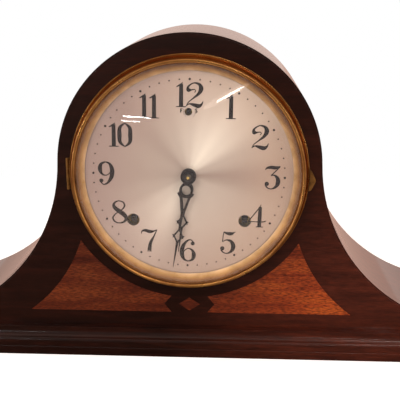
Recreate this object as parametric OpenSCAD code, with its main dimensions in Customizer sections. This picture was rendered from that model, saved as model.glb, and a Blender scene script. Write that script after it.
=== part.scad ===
// Tambour mantel clock with an eight-day striking movement.
// X runs to the right of the dial, -Y is the front, +Z is up; the origin is the middle of the underside.

/* [Case] */
// Width over the base
base_w = 492; // [470:2:520]
// Depth over the base
base_d = 116; // [112:1:126]
// Height of the base board
base_h = 20; // [18:0.5:22]
// How far the base stands out at the front
front_lip = 10; // [8:0.5:12]
// How far the base stands out at the back
back_lip = 6; // [5:0.5:8]
// How far the base stands out at each end
side_lip = 10; // [8:0.5:14]
// Height of the middle of the dial
dial_h = 133; // [130:0.5:136]
// How far the arch's centre lies above the dial's
arch_up = 4.5; // [3:0.5:6]
// Radius of the arch
arch_r = 90.5; // [88:0.5:94]
// Radius of the hollow shoulders
shoulder_r = 123; // [120:0.5:125]
// Height of the middle of the shoulder curve
shoulder_z = 145; // [144.5:0.5:147]
// Radius that eases a shoulder into its toe
toe_blend_r = 50; // [40:1:56]
// Thickness of the bent top sheet
wrap_t = 4.5; // [4:0.25:5.5]
// Length of the solid wedge at each end of the top sheet
end_wedge = 60; // [50:2:80]
// Thickness of the front board
board_t = 10; // [9:0.5:12]
// Thickness of the back board and its door
back_t = 6; // [5:0.5:7]
// Depth of the small step round the front board's edge
edge_step = 1; // [0.6:0.1:1.4]

/* [Base moulding] */
// Width of the bead
bead_w = 1.5; // [1:0.25:2]
// Height of the bead
bead_h = 2.5; // [2:0.25:3]
// Height of the cove above the bead
cove_h = 4.5; // [4:0.25:5]
// Height of the flat top fillet
fillet_h = 2.5; // [2:0.25:3]
// Inset of the top fillet from the edge
fillet_in = 5; // [4:0.25:6]
// Height of the fine groove round the base
groove_z = 6.5; // [5:0.5:8]
// Depth of the groove
groove_d = 0.4; // [0.2:0.1:0.6]

/* [Inlay] */
// Thickness of the inlaid veneer
inlay_t = 0.8; // [0.6:0.1:1.2]
// Height of the flame panels' foot above the base
inlay_foot = 11; // [9:0.5:13]
// Distance of a flame panel's outer corner from the middle
flame_outer = 115; // [110:1:118]
// Distance of its inner corner from the middle
flame_inner = 13; // [12:0.5:15]
// Radius of the flame panels' upper edge
flame_r = 90.5; // [88:0.5:94]
// Height of their top above the base
flame_h = 64.5; // [58:0.5:67]
// Half width of the small lozenge
lozenge_w = 7.5; // [6:0.5:9]
// Half height of the small lozenge
lozenge_h = 5; // [4:0.5:6]

/* [Back door] */
// Width of the door opening
door_w = 150; // [148:0.5:152]
// Height of the opening's sill
door_z = 36; // [34:1:42]
// Radius of the opening's arched top
door_top_r = 80; // [79:0.5:81.5]
// Gap round the door
door_gap = 0.8; // [0.5:0.1:1]
// Radius of the door's hinge knuckles
knuckle_r = 1.6; // [1.4:0.1:1.8]
// Length of each door hinge
hinge_l = 18; // [15:1:20]
// Thickness of the hinge leaves
leaf_t = 0.8; // [0.6:0.1:1]
// Width of a hinge leaf
leaf_w = 7; // [6:0.5:9]
// Height of the door knob
knob_h = 5.4; // [4:0.2:5.6]

/* [Bezel and glass] */
// Outer radius of the bezel
bezel_r = 81.8; // [81:0.2:82.6]
// Radius of the opening that shows the dial
sight_r = 70.8; // [70:0.2:71.4]
// How far the bezel stands out from the front board
bezel_h = 11; // [10:0.5:12]
// How far the glass stands out at its middle
glass_h = 21; // [18:0.5:23]
// Thickness of the glass
glass_t = 1.6; // [1.4:0.1:1.8]
// Radius of the bezel's hinge knuckles
bezel_knuckle_r = 1.1; // [1:0.05:1.3]
// Length of the bezel's hinge
bezel_hinge_l = 22; // [18:1:24]

/* [Dial and hands] */
// Radius of the dial's pan
pan_r = 75.6; // [75.2:0.1:76]
// Thickness of the pan and of the dial plate
dial_t = 0.8; // [0.6:0.1:1]
// Sideways place of each winding hole
wind_x = 38.5; // [38:0.25:39]
// Drop of the winding holes below the centre
wind_drop = 32; // [31.5:0.25:32.5]
// Radius of the winding holes
wind_r = 4.4; // [4.2:0.1:4.8]
// Height of the regulator hole above the centre
reg_z = 43.4; // [43:0.2:45]
// Radius of the regulator hole
reg_hole_r = 2.6; // [2.4:0.1:2.8]
// Length of the minute hand
minute_l = 65.5; // [60:0.5:66]
// Length of the hour hand
hour_l = 55; // [50:0.5:56]
// Thickness of the hands
hand_t = 0.7; // [0.5:0.1:0.9]
// Radius of the hands' boss
boss_r = 5.2; // [4.8:0.1:5.6]
// Angle of the minute hand past twelve
minute_a = 189.5; // [0:0.5:360]
// Angle of the hour hand past twelve
hour_a = 187.6; // [0:0.2:360]
// Radius of the front board's opening
opening_r = 56; // [55:0.5:57]

/* [Movement] */
// Thickness of the movement plates
plate_t = 1.5; // [1.2:0.1:1.8]
// Distance between the plates
plates_gap = 40; // [39.5:0.5:42]
// Half width of the plates at their foot
plate_x = 72; // [71.5:0.5:73]
// Half width of the plates at their top
plate_top_x = 48; // [47.5:0.5:50]
// Radius of the pillars
pillar_r = 2.8; // [2.4:0.1:3.2]
// Width of the mainsprings
spring_w = 19; // [17:0.5:20]
// Thickness of the mainspring strip
spring_t = 0.6; // [0.5:0.05:0.7]
// Radius of a mainspring's outer turn
spring_r = 21.5; // [20:0.5:22]
// Radius of the train arbors
arbor_r = 0.95; // [0.85:0.05:1]
// Radius of the pivots
pivot_r = 0.75; // [0.6:0.05:0.85]
// Running clearance of pivots, bushes and pins
run_c = 0.05; // [0.03:0.01:0.08]
// Thickness of the train wheels
wheel_t = 1.2; // [1:0.1:1.4]
// Radius of the winding arbors
wind_arbor_r = 3; // [2.6:0.1:3.2]
// Radius of the escape wheel
escape_r = 11; // [10.5:0.1:11.2]
// Clearance of the verge's pallets from the escape wheel
pallet_c = 0.6; // [0.55:0.05:0.7]
// Height of the verge above the centre
verge_z = 33; // [32.5:0.25:33.5]

/* [Pendulum and gong] */
// Length from the suspension to the middle of the bob
pendulum_l = 115.5; // [112:0.5:118]
// Radius of the bob
bob_r = 14; // [12:0.5:16]
// Thickness of the bob
bob_t = 8; // [6:0.5:9]
// Radius of the pendulum rod
rod_r = 1; // [0.8:0.05:1.1]
// Radius of the gong's outer turn
gong_r = 26; // [24:0.5:26.5]
// Number of turns of the gong
gong_turns = 5; // [4:1:5]
// Radius of the gong's inner turn
gong_in = 6.5; // [6:0.5:8]
// Thickness of the gong wire
gong_t = 1.5; // [1.2:0.1:1.8]
// Gap between the gong and the hammer at rest
strike_gap = 1.2; // [1:0.1:2]

/* [Hidden] */
$fn = 64;

wood = "#3a1410";
wood_dark = "#2a0f0c";
flame = "#a8401c";
brass = "#c8994a";
brass_pale = "#d9b871";
silvered = "#e6dcd0";
blued = "#191a22";
steel = "#8d9096";
spring_blue = "#4a5560";

// Depths from the front to the back
panel_y = front_lip - base_d / 2;
case_back_y = base_d / 2 - back_lip;
plate_y = panel_y + board_t;
inner_y = plate_y + plate_t;
back_inner_y = inner_y + plates_gap;
outer_y = back_inner_y + plate_t;
board_back_y = case_back_y - back_t;
case_half = base_w / 2 - side_lip;

// Outline of the case
arch_z = dial_h + arch_up;
shoulder_x = sqrt(pow(arch_r + shoulder_r, 2) - pow(shoulder_z - arch_z, 2));
join_a = atan2(shoulder_z - arch_z, shoulder_x);
toe_top = base_h + wrap_t;
toe_z = toe_top + toe_blend_r;
toe_x = shoulder_x - sqrt(pow(shoulder_r - toe_blend_r, 2) - pow(shoulder_z - toe_z, 2));
toe_a = 180 + atan2(shoulder_z - toe_z, shoulder_x - toe_x);
cavity_half = case_half - end_wedge;

function arc(x, z, r, a0, a1, n) =
    [for (i = [0:n]) [x + r * cos(a0 + (a1 - a0) * i / n), z + r * sin(a0 + (a1 - a0) * i / n)]];
function tail(list) = [for (i = [1:len(list) - 1]) list[i]];
function flip(list) = [for (i = [len(list) - 1:-1:0]) [-list[i][0], list[i][1]]];
function flank(t) = concat(
    arc(0, arch_z, arch_r - t, 90, join_a, 36),
    tail(arc(shoulder_x, shoulder_z, shoulder_r + t, 180 + join_a, toe_a, 26)),
    tail(arc(toe_x, toe_z, toe_blend_r + t, toe_a, 270, 5))
);
function half_case(t) = concat(
    flank(t),
    arc(case_half - wrap_t, base_h, wrap_t - t, 90, 0, 6)
);
function outline(t) = concat(half_case(t), flip(tail(half_case(t))));

// A flat shape in X and Z, from depth y to y + t
module slab(y, t) {
    translate([0, y + t, 0])
        rotate([90, 0, 0])
            linear_extrude(t)
                children();
}
// A round bar along Y
module bar(x, z, y, t, r) {
    translate([x, y, z])
        rotate([-90, 0, 0])
            cylinder(r = r, h = t);
}
// The same bars and slabs, placed from the middle of the dial
module at_dial() {
    translate([0, 0, dial_h])
        children();
}
// A turned shape about the dial's axis, its profile in radius and height above the panel
module turned(profile) {
    translate([0, panel_y, dial_h])
        rotate([90, 0, 0])
            rotate_extrude()
                polygon(profile);
}

// Case

module front_board() {
    color(wood)
        difference() {
            union() {
                slab(panel_y + edge_step, board_t - edge_step)
                    polygon(outline(0));
                slab(panel_y, edge_step)
                    polygon(outline(edge_step));
            }
            bar(0, dial_h, panel_y - 1, board_t + 2, opening_r);
            slab(panel_y, inlay_t)
                inlay_shapes();
            bezel_leaf();
            for (p = screw_places)
                bar(p[0], dial_h + p[1], plate_y - screw_l, screw_l, screw_r);
            for (a = dial_screw_angles)
                bar(dial_screw_ring * cos(a), dial_h + dial_screw_ring * sin(a), panel_y, dial_screw_l,
                    dial_screw_r);
        }
}

// Flush veneers: two flame panels and a lozenge between their inner corners
flame_base = base_h + inlay_foot;
flame_top = base_h + flame_h;
flame_tip_x = sqrt(pow(flame_r, 2) - pow(dial_h - flame_top, 2));
flame_low = dial_h - sqrt(pow(flame_r, 2) - pow(flame_inner, 2));
lozenge_z = (flame_base + flame_low) / 2;
flame_in_a = -90 + asin(flame_inner / flame_r);
flame_tip_a = -asin((dial_h - flame_top) / flame_r);
outer_hollow = 5.2;
notch_w = 5;
// A line of n steps from a to b that is hollow by depth in its middle
function hollow(a, b, depth, n) = [for (i = [0:n])
    let (u = i / n, dx = b[0] - a[0], dz = b[1] - a[1], len = norm([dx, dz]), s = 4 * depth * u * (1 - u))
    [a[0] + dx * u + dz / len * s, a[1] + dz * u - dx / len * s]];
flame_panel = concat(
    arc(0, dial_h, flame_r, flame_in_a, flame_tip_a, 24),
    tail(hollow([flame_tip_x, flame_top], [flame_outer, flame_base], outer_hollow, 12)),
    [[flame_inner, flame_base], [flame_inner + notch_w, lozenge_z]]
);
lozenge = [[lozenge_w, lozenge_z], [0, lozenge_z + lozenge_h],
    [-lozenge_w, lozenge_z], [0, lozenge_z - lozenge_h]];
module inlay_shapes() {
    polygon(flame_panel);
    mirror([1, 0])
        polygon(flame_panel);
    polygon(lozenge);
}
module flame_inlays() {
    color(flame)
        slab(panel_y, inlay_t)
            inlay_shapes();
}

module case_wrap() {
    color(wood)
        slab(plate_y, case_back_y - plate_y)
            difference() {
                polygon(outline(0));
                intersection() {
                    polygon(outline(wrap_t));
                    translate([-cavity_half, 0])
                        square([2 * cavity_half, 2 * dial_h]);
                }
            }
}

door_half = door_w / 2;
function door_shape(g) = concat(
    [[-(door_half - g), door_z + g], [door_half - g, door_z + g]],
    arc(0, arch_z, door_top_r - g, acos((door_half - g) / (door_top_r - g)),
        180 - acos((door_half - g) / (door_top_r - g)), 24)
);
module back_board() {
    color(wood_dark)
        difference() {
            slab(board_back_y, back_t)
                difference() {
                    intersection() {
                        polygon(outline(wrap_t));
                        translate([-cavity_half, 0])
                            square([2 * cavity_half, 2 * dial_h]);
                    }
                    polygon(door_shape(0));
                }
            bar(button_x, button_z, case_back_y - button_screw_l, button_screw_l, button_screw_r);
        }
}

foot_z = base_h - fillet_h - cove_h;
function moulding(sign, edge) = concat(
    [[sign * edge, 0], [sign * edge, groove_z - groove_d], [sign * (edge - groove_d), groove_z],
        [sign * edge, groove_z + groove_d], [sign * edge, foot_z - bead_h]],
    [for (a = [15:15:90]) [sign * (edge - bead_w + bead_w * cos(a)), foot_z - bead_h + bead_h * sin(a)]],
    [for (a = [0:15:90]) [sign * (edge - fillet_in + (fillet_in - bead_w) * (1 - sin(a))),
        foot_z + cove_h * (1 - cos(a))]],
    [[sign * (edge - fillet_in), base_h]]
);
function turn_back(list) = [for (i = [len(list) - 1:-1:0]) list[i]];
base_front_profile = concat(moulding(-1, base_d / 2), [[base_d / 2, base_h], [base_d / 2, 0]]);
base_end_profile = concat(moulding(1, base_w / 2), turn_back(moulding(-1, base_w / 2)));
module base_board() {
    color(wood)
        intersection() {
            translate([-base_w / 2, 0, 0])
                rotate([90, 0, 90])
                    linear_extrude(base_w)
                        polygon(base_front_profile);
            slab(-base_d / 2, base_d)
                polygon(base_end_profile);
        }
}

block_w = 40;
block_s = 12;
block_x = 115;
module glue_blocks() {
    color(brass_pale)
        for (s = [-1, 1]) {
            translate([s * block_x - block_w / 2, plate_y, base_h])
                rotate([90, 0, 90])
                    linear_extrude(block_w)
                        polygon([[0, 0], [block_s, 0], [0, block_s]]);
            translate([s * block_x - block_w / 2, board_back_y, base_h])
                rotate([90, 0, 90])
                    linear_extrude(block_w)
                        polygon([[0, 0], [-block_s, 0], [0, block_s]]);
        }
}

// Back door

door_axis_y = case_back_y + knuckle_r;
door_pin_r = knuckle_r / 2;
hinge_zs = [door_z + 24, door_z + 108];
knuckle_l = hinge_l / 3;
end_play = 0.15;
module back_door() {
    color(wood_dark)
        slab(board_back_y, back_t)
            polygon(door_shape(door_gap));
}
module door_knob() {
    color(brass)
        translate([-(door_half - knob_in), case_back_y, button_z])
            rotate([-90, 0, 0])
                rotate_extrude()
                    polygon([[0, 0], [3.2, 0], [3.2, 0.7], [1.6, 1.2], [1.5, 2.4],
                        [3.4, 3.2], [4, 4.1], [3.4, knob_h - 0.5], [2, knob_h], [0, knob_h]]);
}
knob_in = 14;
module knuckle(z0, l) {
    translate([door_half - door_gap / 2, door_axis_y, z0])
        cylinder(r = knuckle_r, h = l);
}
// Leaves are let flat onto the faces and touch their own knuckles
module leaf(side, z0, l) {
    x0 = side > 0 ? door_half : door_half - door_gap - leaf_w;
    translate([x0, case_back_y, z0])
        cube([leaf_w, leaf_t, l]);
    reach = knuckle_r + leaf_t;
    translate([side > 0 ? door_half - door_gap / 2 + knuckle_r * 0.5 : door_half - door_gap - reach, case_back_y, z0])
        cube([reach, leaf_t, l]);
}
module door_hinge_case_leaves() {
    color(brass)
        for (z = hinge_zs)
            difference() {
                union() {
                    for (k = [0, 2])
                        knuckle(z + k * knuckle_l, knuckle_l);
                    leaf(1, z, hinge_l);
                    translate([door_half - door_gap / 2, door_axis_y, z + knuckle_l - 1])
                        cylinder(r = door_pin_r, h = knuckle_l + 2);
                }
                translate([door_half - door_gap / 2 - 2 * knuckle_r, case_back_y - 1, z + knuckle_l])
                    difference() {
                        cube([3.1 * knuckle_r + 2 * run_c, 2 * knuckle_r + 2, knuckle_l]);
                        translate([2 * knuckle_r, knuckle_r + 1, -1])
                            cylinder(r = door_pin_r, h = knuckle_l + 2);
                    }
            }
}
module door_hinge_door_leaves() {
    color(brass)
        for (z = hinge_zs)
            difference() {
                union() {
                    knuckle(z + knuckle_l + end_play, knuckle_l - 2 * end_play);
                    difference() {
                        leaf(-1, z, hinge_l);
                        for (k = [0, 2])
                            translate([door_half - door_gap / 2, door_axis_y, z + k * knuckle_l - end_play])
                                cylinder(r = knuckle_r + 2 * run_c, h = knuckle_l + 2 * end_play);
                    }
                    translate([door_half - door_gap - leaf_w, case_back_y, z + knuckle_l + end_play])
                        cube([leaf_w + door_gap / 2, leaf_t, knuckle_l - 2 * end_play]);
                }
                translate([door_half - door_gap / 2, door_axis_y, z - 1])
                    cylinder(r = door_pin_r + run_c, h = hinge_l + 2);
            }
}
button_x = -(door_half + 7);
button_z = 105;
button_r = 3;
button_t = 1.6;
button_l = 13;
button_gap = 0.3;
button_screw_r = 1;
button_screw_l = 5;
// The button rests clear of the door and turns a quarter to hold it
module door_button() {
    color(brass)
        translate([button_x, case_back_y + button_gap, button_z])
            rotate([-90, 0, 0]) {
                cylinder(r = button_r, h = button_t);
                translate([-button_r * 0.8, 0, 0])
                    cube([button_r * 1.6, button_l - button_r * 0.8, button_t]);
                translate([0, button_l - button_r * 0.8, 0])
                    cylinder(r = button_r * 0.8, h = button_t);
                translate([0, 0, button_t])
                    cylinder(r1 = 2.2, r2 = 1.6, h = 0.7);
                translate([0, 0, -button_gap - button_screw_l + 0.5])
                    cylinder(r = button_screw_r - run_c, h = button_gap + button_screw_l - 0.5);
            }
}

// Bezel, glass and dial

bezel_gap = 0.2;
bezel_wall_r = 77.6;
glass_low = bezel_h - 3.2;
ridge_r = 78.8;
dial_screw_ring = 73.4;
dial_screw_r = 0.9;
dial_screw_l = 5;
dial_screw_angles = [45, 135, 225, 315];
dial_face = 2 * dial_t + 0.4;
module bezel_ring() {
    color(brass)
        difference() {
            turned(concat(
                [[bezel_wall_r, bezel_gap], [bezel_r, bezel_gap], [bezel_r, 1.9], [bezel_r - 0.5, 2.4],
                    [bezel_r - 1.1, 2.2]],
                [for (a = [10:16:90]) [ridge_r + (bezel_r - 1.1 - ridge_r) * (1 - sin(a)),
                    2.2 + (bezel_h - 3.4) * (1 - cos(a))]],
                [for (a = [20:35:160]) [ridge_r - 1 + cos(a), bezel_h - 0.9 + 0.9 * sin(a)]],
                [[bezel_wall_r - 1, bezel_h - 0.6], [bezel_wall_r - 1, glass_low + glass_t + 0.4],
                    [bezel_wall_r, glass_low + glass_t + 0.4]]
            ));
            hinge_clear();
        }
}
// Room for the hinge plate's knuckles in the bezel's edge
module hinge_clear() {
    for (s = [-1, 1])
        translate([bezel_axis_x, bezel_axis_y, dial_h + s * bezel_hinge_l / 3])
            cylinder(r = bezel_knuckle_r + 0.35, h = bezel_hinge_l / 3 + 0.4, center = true);
}
dome_s = glass_h - glass_low - glass_t;
glass_edge = bezel_wall_r - 0.1;
dome_r = (pow(glass_edge, 2) + pow(dome_s, 2)) / (2 * dome_s);
dome_a = asin(glass_edge / dome_r);
module bezel_glass() {
    color([0.85, 0.92, 0.93, 0.3])
        turned(concat(
            [for (i = [0:14]) let (a = dome_a * (1 - i / 14))
                [dome_r * sin(a), glass_low + dome_s - dome_r * (1 - cos(a))]],
            [for (i = [0:14]) let (a = dome_a * i / 14)
                [dome_r * sin(a), glass_low + dome_s + glass_t - dome_r * (1 - cos(a))]]
        ));
}
module sight_ring() {
    color(brass_pale)
        turned([[sight_r, dial_face + 0.3], [sight_r + 0.9, dial_face + 0.3],
            [bezel_wall_r - 0.04, glass_low - 0.7],
            [bezel_wall_r - 0.04, glass_low], [bezel_wall_r - 1.2, glass_low], [sight_r, dial_face + 0.9]]);
}
pull_reach = 4.2;
module bezel_pull() {
    tip = bezel_r + pull_reach;
    color(brass)
        slab(panel_y - 3.4, 1.2)
            translate([0, dial_h])
                polygon(concat(arc(0, 0, bezel_r + 0.03, 3.6, -7, 6),
                    [[tip - 3, -9.2], [tip - 1.7, -6.6], [tip - 0.5, -4.2], [tip, -2.6], [tip - 0.5, -1],
                        [tip - 1.7, 1.4], [tip - 3, 4]]));
}
bezel_gap_x = bezel_knuckle_r + 0.05;
bezel_axis_x = -(bezel_r + bezel_gap_x);
bezel_axis_y = panel_y - bezel_knuckle_r - 0.2;
bezel_pin_r = bezel_knuckle_r / 2;
bezel_leaf_w = 7;
bezel_leaf_t = 0.8;
module bezel_hinge_knuckle() {
    l = bezel_hinge_l / 3 - 2 * end_play;
    color(brass)
        translate([bezel_axis_x, bezel_axis_y, dial_h - l / 2])
            linear_extrude(l)
                difference() {
                    union() {
                        circle(r = bezel_knuckle_r);
                        translate([0, -0.3])
                            square([bezel_gap_x - 0.03, 0.9]);
                    }
                    circle(r = bezel_pin_r + run_c);
                }
}
module bezel_leaf() {
    translate([bezel_axis_x - 0.8, panel_y, dial_h - bezel_hinge_l / 2])
        cube([bezel_leaf_w, bezel_leaf_t, bezel_hinge_l]);
}
// Knuckles on blocks that stand on a leaf let into the front board behind the bezel
module bezel_hinge_plate() {
    l = bezel_hinge_l / 3;
    color(brass) {
        bezel_leaf();
        for (z = [dial_h - bezel_hinge_l / 2, dial_h + l / 2])
            translate([bezel_axis_x, bezel_axis_y, z])
                linear_extrude(l) {
                    circle(r = bezel_knuckle_r);
                    translate([-0.5, 0])
                        square([1, panel_y - bezel_axis_y + 0.2]);
                }
    }
    color(steel)
        translate([bezel_axis_x, bezel_axis_y, dial_h - bezel_hinge_l / 2 + 1])
            cylinder(r = bezel_pin_r, h = bezel_hinge_l - 2);
}
collar_r = opening_r - 0.4;
module dial_pan() {
    color(silvered)
        difference() {
            turned([[collar_r - dial_t, -4], [collar_r, -4], [collar_r, 0], [pan_r, 0], [pan_r, dial_face - 0.2],
                [pan_r - dial_t, dial_face - 0.2], [pan_r - dial_t, dial_t], [collar_r - dial_t, dial_t]]);
            for (a = dial_screw_angles)
                bar(dial_screw_ring * cos(a), dial_h + dial_screw_ring * sin(a), panel_y - 2, 3, dial_screw_r);
        }
}
dial_r = pan_r - dial_t - 0.1;
centre_hole_r = 4.6;
module dial_plate() {
    color(silvered)
        slab(panel_y - 2 * dial_t, dial_t)
            translate([0, dial_h])
                difference() {
                    circle(r = dial_r);
                    circle(r = centre_hole_r);
                    for (s = [-1, 1])
                        translate([s * wind_x, -wind_drop])
                            circle(r = wind_r);
                    translate([0, reg_z])
                        circle(r = reg_hole_r);
                    for (a = dial_screw_angles)
                        rotate(a)
                            translate([dial_screw_ring, 0])
                                circle(r = dial_screw_r);
                }
}
module dial_screws() {
    color(brass)
        for (a = dial_screw_angles)
            translate([dial_screw_ring * cos(a), panel_y, dial_h + dial_screw_ring * sin(a)]) {
                rotate([-90, 0, 0])
                    cylinder(r = dial_screw_r, h = dial_screw_l);
                rotate([90, 0, 0])
                    cylinder(r = dial_screw_r, h = 2 * dial_t);
                translate([0, -2 * dial_t, 0])
                    rotate([90, 0, 0])
                        cylinder(r1 = 1.4, r2 = 1.1, h = 0.5);
            }
}

// Hands

tube_r = 2.2;
arbor_bush_r = 1.2;
minute_star = 42.5;
hour_star = 33;
hour_bore = 3.4;
hour_y = panel_y - 3.6;
minute_y = panel_y - 6.6;
function oval(z, a, b, n) = [for (i = [0:n - 1]) [a * cos(360 * i / n), z + b * sin(360 * i / n)]];
// A straight piece that tapers from width wa to width wb
module taper(a, b, wa, wb) {
    n = [a[1] - b[1], b[0] - a[0]] / norm(b - a) / 2;
    polygon([a - n * wa, b - n * wb, b + n * wb, a + n * wa]);
}
// A pierced hand: boss, loop with barbs, open taper, stem, open star and point
loop_z = 9.6;
star_w = 2.9;
module hand_half(star) {
    polygon([[2.7, loop_z + 2.2], [5.6, loop_z + 2.6], [3.4, loop_z + 5.6]]);
    polygon([[3.4, loop_z + 3.6], [2.8, loop_z + 5.6], [0.9, loop_z + 4.6]]);
    taper([3.1, loop_z + 3.8], [0.7, loop_z + 15.4], 1.4, 1);
    taper([0, star - 5], [star_w, star], 1.2, 0.9);
    taper([star_w, star + 0.3], [0, star + 4.6], 0.9, 1.2);
    polygon([[star_w - 0.6, star - 1], [star_w + 1.4, star - 0.4], [star_w + 0.6, star + 0.6],
        [star_w + 0.9, star + 1.7], [star_w - 0.7, star + 1]]);
}
module hand_shape(l, bore, star) {
    difference() {
        union() {
            circle(r = boss_r);
            difference() {
                polygon(oval(loop_z, 4.6, 5.2, 28));
                polygon(oval(loop_z + 0.2, 3.2, 3.8, 24));
            }
            hand_half(star);
            mirror([1, 0])
                hand_half(star);
            taper([0, loop_z + 14], [0, star - 4.4], 2.2, 1.5);
            taper([0, star + 3.6], [0, l], 1.9, 0.4);
        }
        circle(r = bore);
    }
}
module hand(y, angle, l, bore, cross) {
    at_dial()
        slab(y, hand_t)
            rotate(-angle)
                hand_shape(l, bore, cross);
}
module minute_hand() {
    color(blued)
        hand(minute_y, minute_a, minute_l, arbor_bush_r, minute_star);
}
module hour_hand() {
    color(blued)
        hand(hour_y, hour_a, hour_l, hour_bore, hour_star);
}
module hand_nut() {
    color(brass)
        translate([0, minute_y, dial_h])
            rotate([90, 0, 0])
                rotate_extrude()
                    polygon([[0.9, 0], [3, 0], [3, 0.6], [2.6, 1.6], [1.6, 2.4], [0.9, 2.5]]);
}

// Toothed wheels: the number of teeth times the module is the pitch diameter

function teeth(n, m, phase, wide, add, ded, tip) = [for (k = [0:n - 1])
    for (q = [[n * m / 2 - ded * m, -1.05 * wide], [n * m / 2 + 0.1 * m, -wide], [n * m / 2 + add * m, -tip],
        [n * m / 2 + add * m, tip], [n * m / 2 + 0.1 * m, wide], [n * m / 2 - ded * m, 1.05 * wide]])
    let (a = phase + (360 * k + 180 * q[1]) / n) [q[0] * cos(a), q[0] * sin(a)]];
// A wheel with spokes, its tooth gap turned to the angle it meshes at
module spoked(n, m, mesh_a, hub, rim, arms) {
    root = n * m / 2 - 1.2 * m;
    difference() {
        polygon(teeth(n, m, mesh_a + 180 / n, 0.46, 0.9, 1.2, 0.14));
        difference() {
            circle(r = root - rim);
            circle(r = hub);
            for (k = [0:arms - 1])
                rotate(mesh_a + 360 * k / arms)
                    translate([0, -rim * 0.45])
                        square([root, rim * 0.9]);
        }
        circle(r = arbor_r);
    }
}
module wheel(at, depth, n, m, mesh_a, hub, rim, arms) {
    color(brass)
        at_dial()
            slab(inner_y + depth, wheel_t)
                translate(at)
                    spoked(n, m, mesh_a, hub, rim, arms);
}
// A lantern pinion: pins between two shrouds, one pin turned to the wheel that drives it
shroud_t = 1;
module lantern(at, depth, l, n, m, pin_r, mesh_a) {
    r = n * m / 2;
    color(brass)
        at_dial()
            for (y = [depth, depth + l - shroud_t])
                slab(inner_y + y, shroud_t)
                    translate(at)
                        difference() {
                            circle(r = r + 2 * pin_r);
                            circle(r = arbor_r);
                        }
    color(steel)
        at_dial()
            for (k = [0:n - 1])
                bar(at[0] + r * cos(mesh_a + 180 + 360 * k / n), at[1] + r * sin(mesh_a + 180 + 360 * k / n),
                    inner_y + depth + shroud_t, l - 2 * shroud_t, pin_r);
}
// An arbor between the plates, with a pivot in each
shake = 0.1;
module arbor(at) {
    color(steel)
        at_dial() {
            bar(at[0], at[1], inner_y + shake, plates_gap - 2 * shake, arbor_r);
            bar(at[0], at[1], plate_y + 0.2, plates_gap + 2 * plate_t - 0.4, pivot_r);
        }
}

function dir(a, b) = atan2(b[1] - a[1], b[0] - a[0]);
// The place at distance ra from a and rb from b, to the left of the way from a to b when side is 1
function meet(a, ra, b, rb, side) = let (d = norm(b - a), u = (ra * ra - rb * rb + d * d) / (2 * d),
    h = sqrt(ra * ra - u * u), e = (b - a) / d)
    [a[0] + u * e[0] - side * h * e[1], a[1] + u * e[1] + side * h * e[0]];
function from(a, r, angle) = [a[0] + r * cos(angle), a[1] + r * sin(angle)];

great_n = 72;
great_m = 0.72;
second_pins = 12;
second_n = 48;
second_m = 0.7;
centre_pins = 12;
centre_n = 80;
centre_m = 0.44;
third_pins = 8;
third_n = 84;
third_m = 0.4;
escape_pins = 7;
escape_n = 44;
great_reach = great_m * (great_n + second_pins) / 2;
second_reach = second_m * (second_n + centre_pins) / 2;
centre_reach = centre_m * (centre_n + third_pins) / 2;
third_reach = third_m * (third_n + escape_pins) / 2;

centre_at = [0, 0];
great_at = [wind_x, -wind_drop];
second_at = meet(great_at, great_reach, centre_at, second_reach, 1);
verge_at = [0, verge_z];
pallet_span = 32;
escape_at = [0, verge_z - escape_r / cos(pallet_span)];
third_at = meet(centre_at, centre_reach, escape_at, third_reach, -1);

// Depths of the wheels behind the front plate
great_y = 3;
ratchet_y = great_y + wheel_t + 0.3;
spring_y = 9;
second_y = 32;
centre_y = 22;
third_y = 14;
escape_y = 33;
mesh_l = 2 * shroud_t + wheel_t + 1.8;
function pinion_y(w) = w + wheel_t / 2 - mesh_l / 2;

// Motion work in front of the front plate
cannon_n = 12;
minute_n = 36;
minute_m = 0.5;
minute_pins = 10;
hour_n = 40;
hour_m = minute_m * (cannon_n + minute_n) / (minute_pins + hour_n);
motion_reach = minute_m * (cannon_n + minute_n) / 2;
minute_stud_a = -45;
minute_at = from(centre_at, motion_reach, minute_stud_a);
cam_y = plate_y - 1.2;
cam_t = 0.8;
leaves_y = plate_y - 2.7;
leaves_t = 1.3;
hour_wheel_y = plate_y - 4.2;
module leaves(n, m, phase) {
    polygon(teeth(n, m, phase, 0.4, 0.8, 1.2, 0.2));
}
module cannon_pinion() {
    color(brass)
        at_dial()
            difference() {
                union() {
                    slab(leaves_y, leaves_t)
                        leaves(cannon_n, minute_m, minute_stud_a);
                    slab(cam_y, cam_t)
                        rotate(45)
                            difference() {
                                circle(r = 4.6);
                                for (s = [-1, 1])
                                    translate([s * 5.4, 0])
                                        circle(r = 3);
                            }
                    bar(0, 0, minute_y + hand_t, cam_y + cam_t - minute_y - hand_t, tube_r);
                    bar(0, 0, minute_y, hand_t, arbor_bush_r);
                }
                bar(0, 0, minute_y - 1, cam_y + cam_t - minute_y + 2, 0.9);
            }
}
minute_wheel_y = leaves_y + 0.15;
module minute_wheel() {
    color(brass)
        at_dial()
            difference() {
                union() {
                    slab(minute_wheel_y, 1)
                        translate(minute_at)
                            polygon(teeth(minute_n, minute_m, minute_stud_a + 180 + 180 / minute_n,
                                0.42, 0.9, 1.2, 0.14));
                    slab(hour_wheel_y - 0.2, minute_wheel_y - hour_wheel_y + 0.3)
                        translate(minute_at)
                            leaves(minute_pins, hour_m, minute_stud_a + 180);
                }
                bar(minute_at[0], minute_at[1], plate_y - 8, 8, stud_r + run_c);
            }
}
stud_r = 1;
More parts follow.
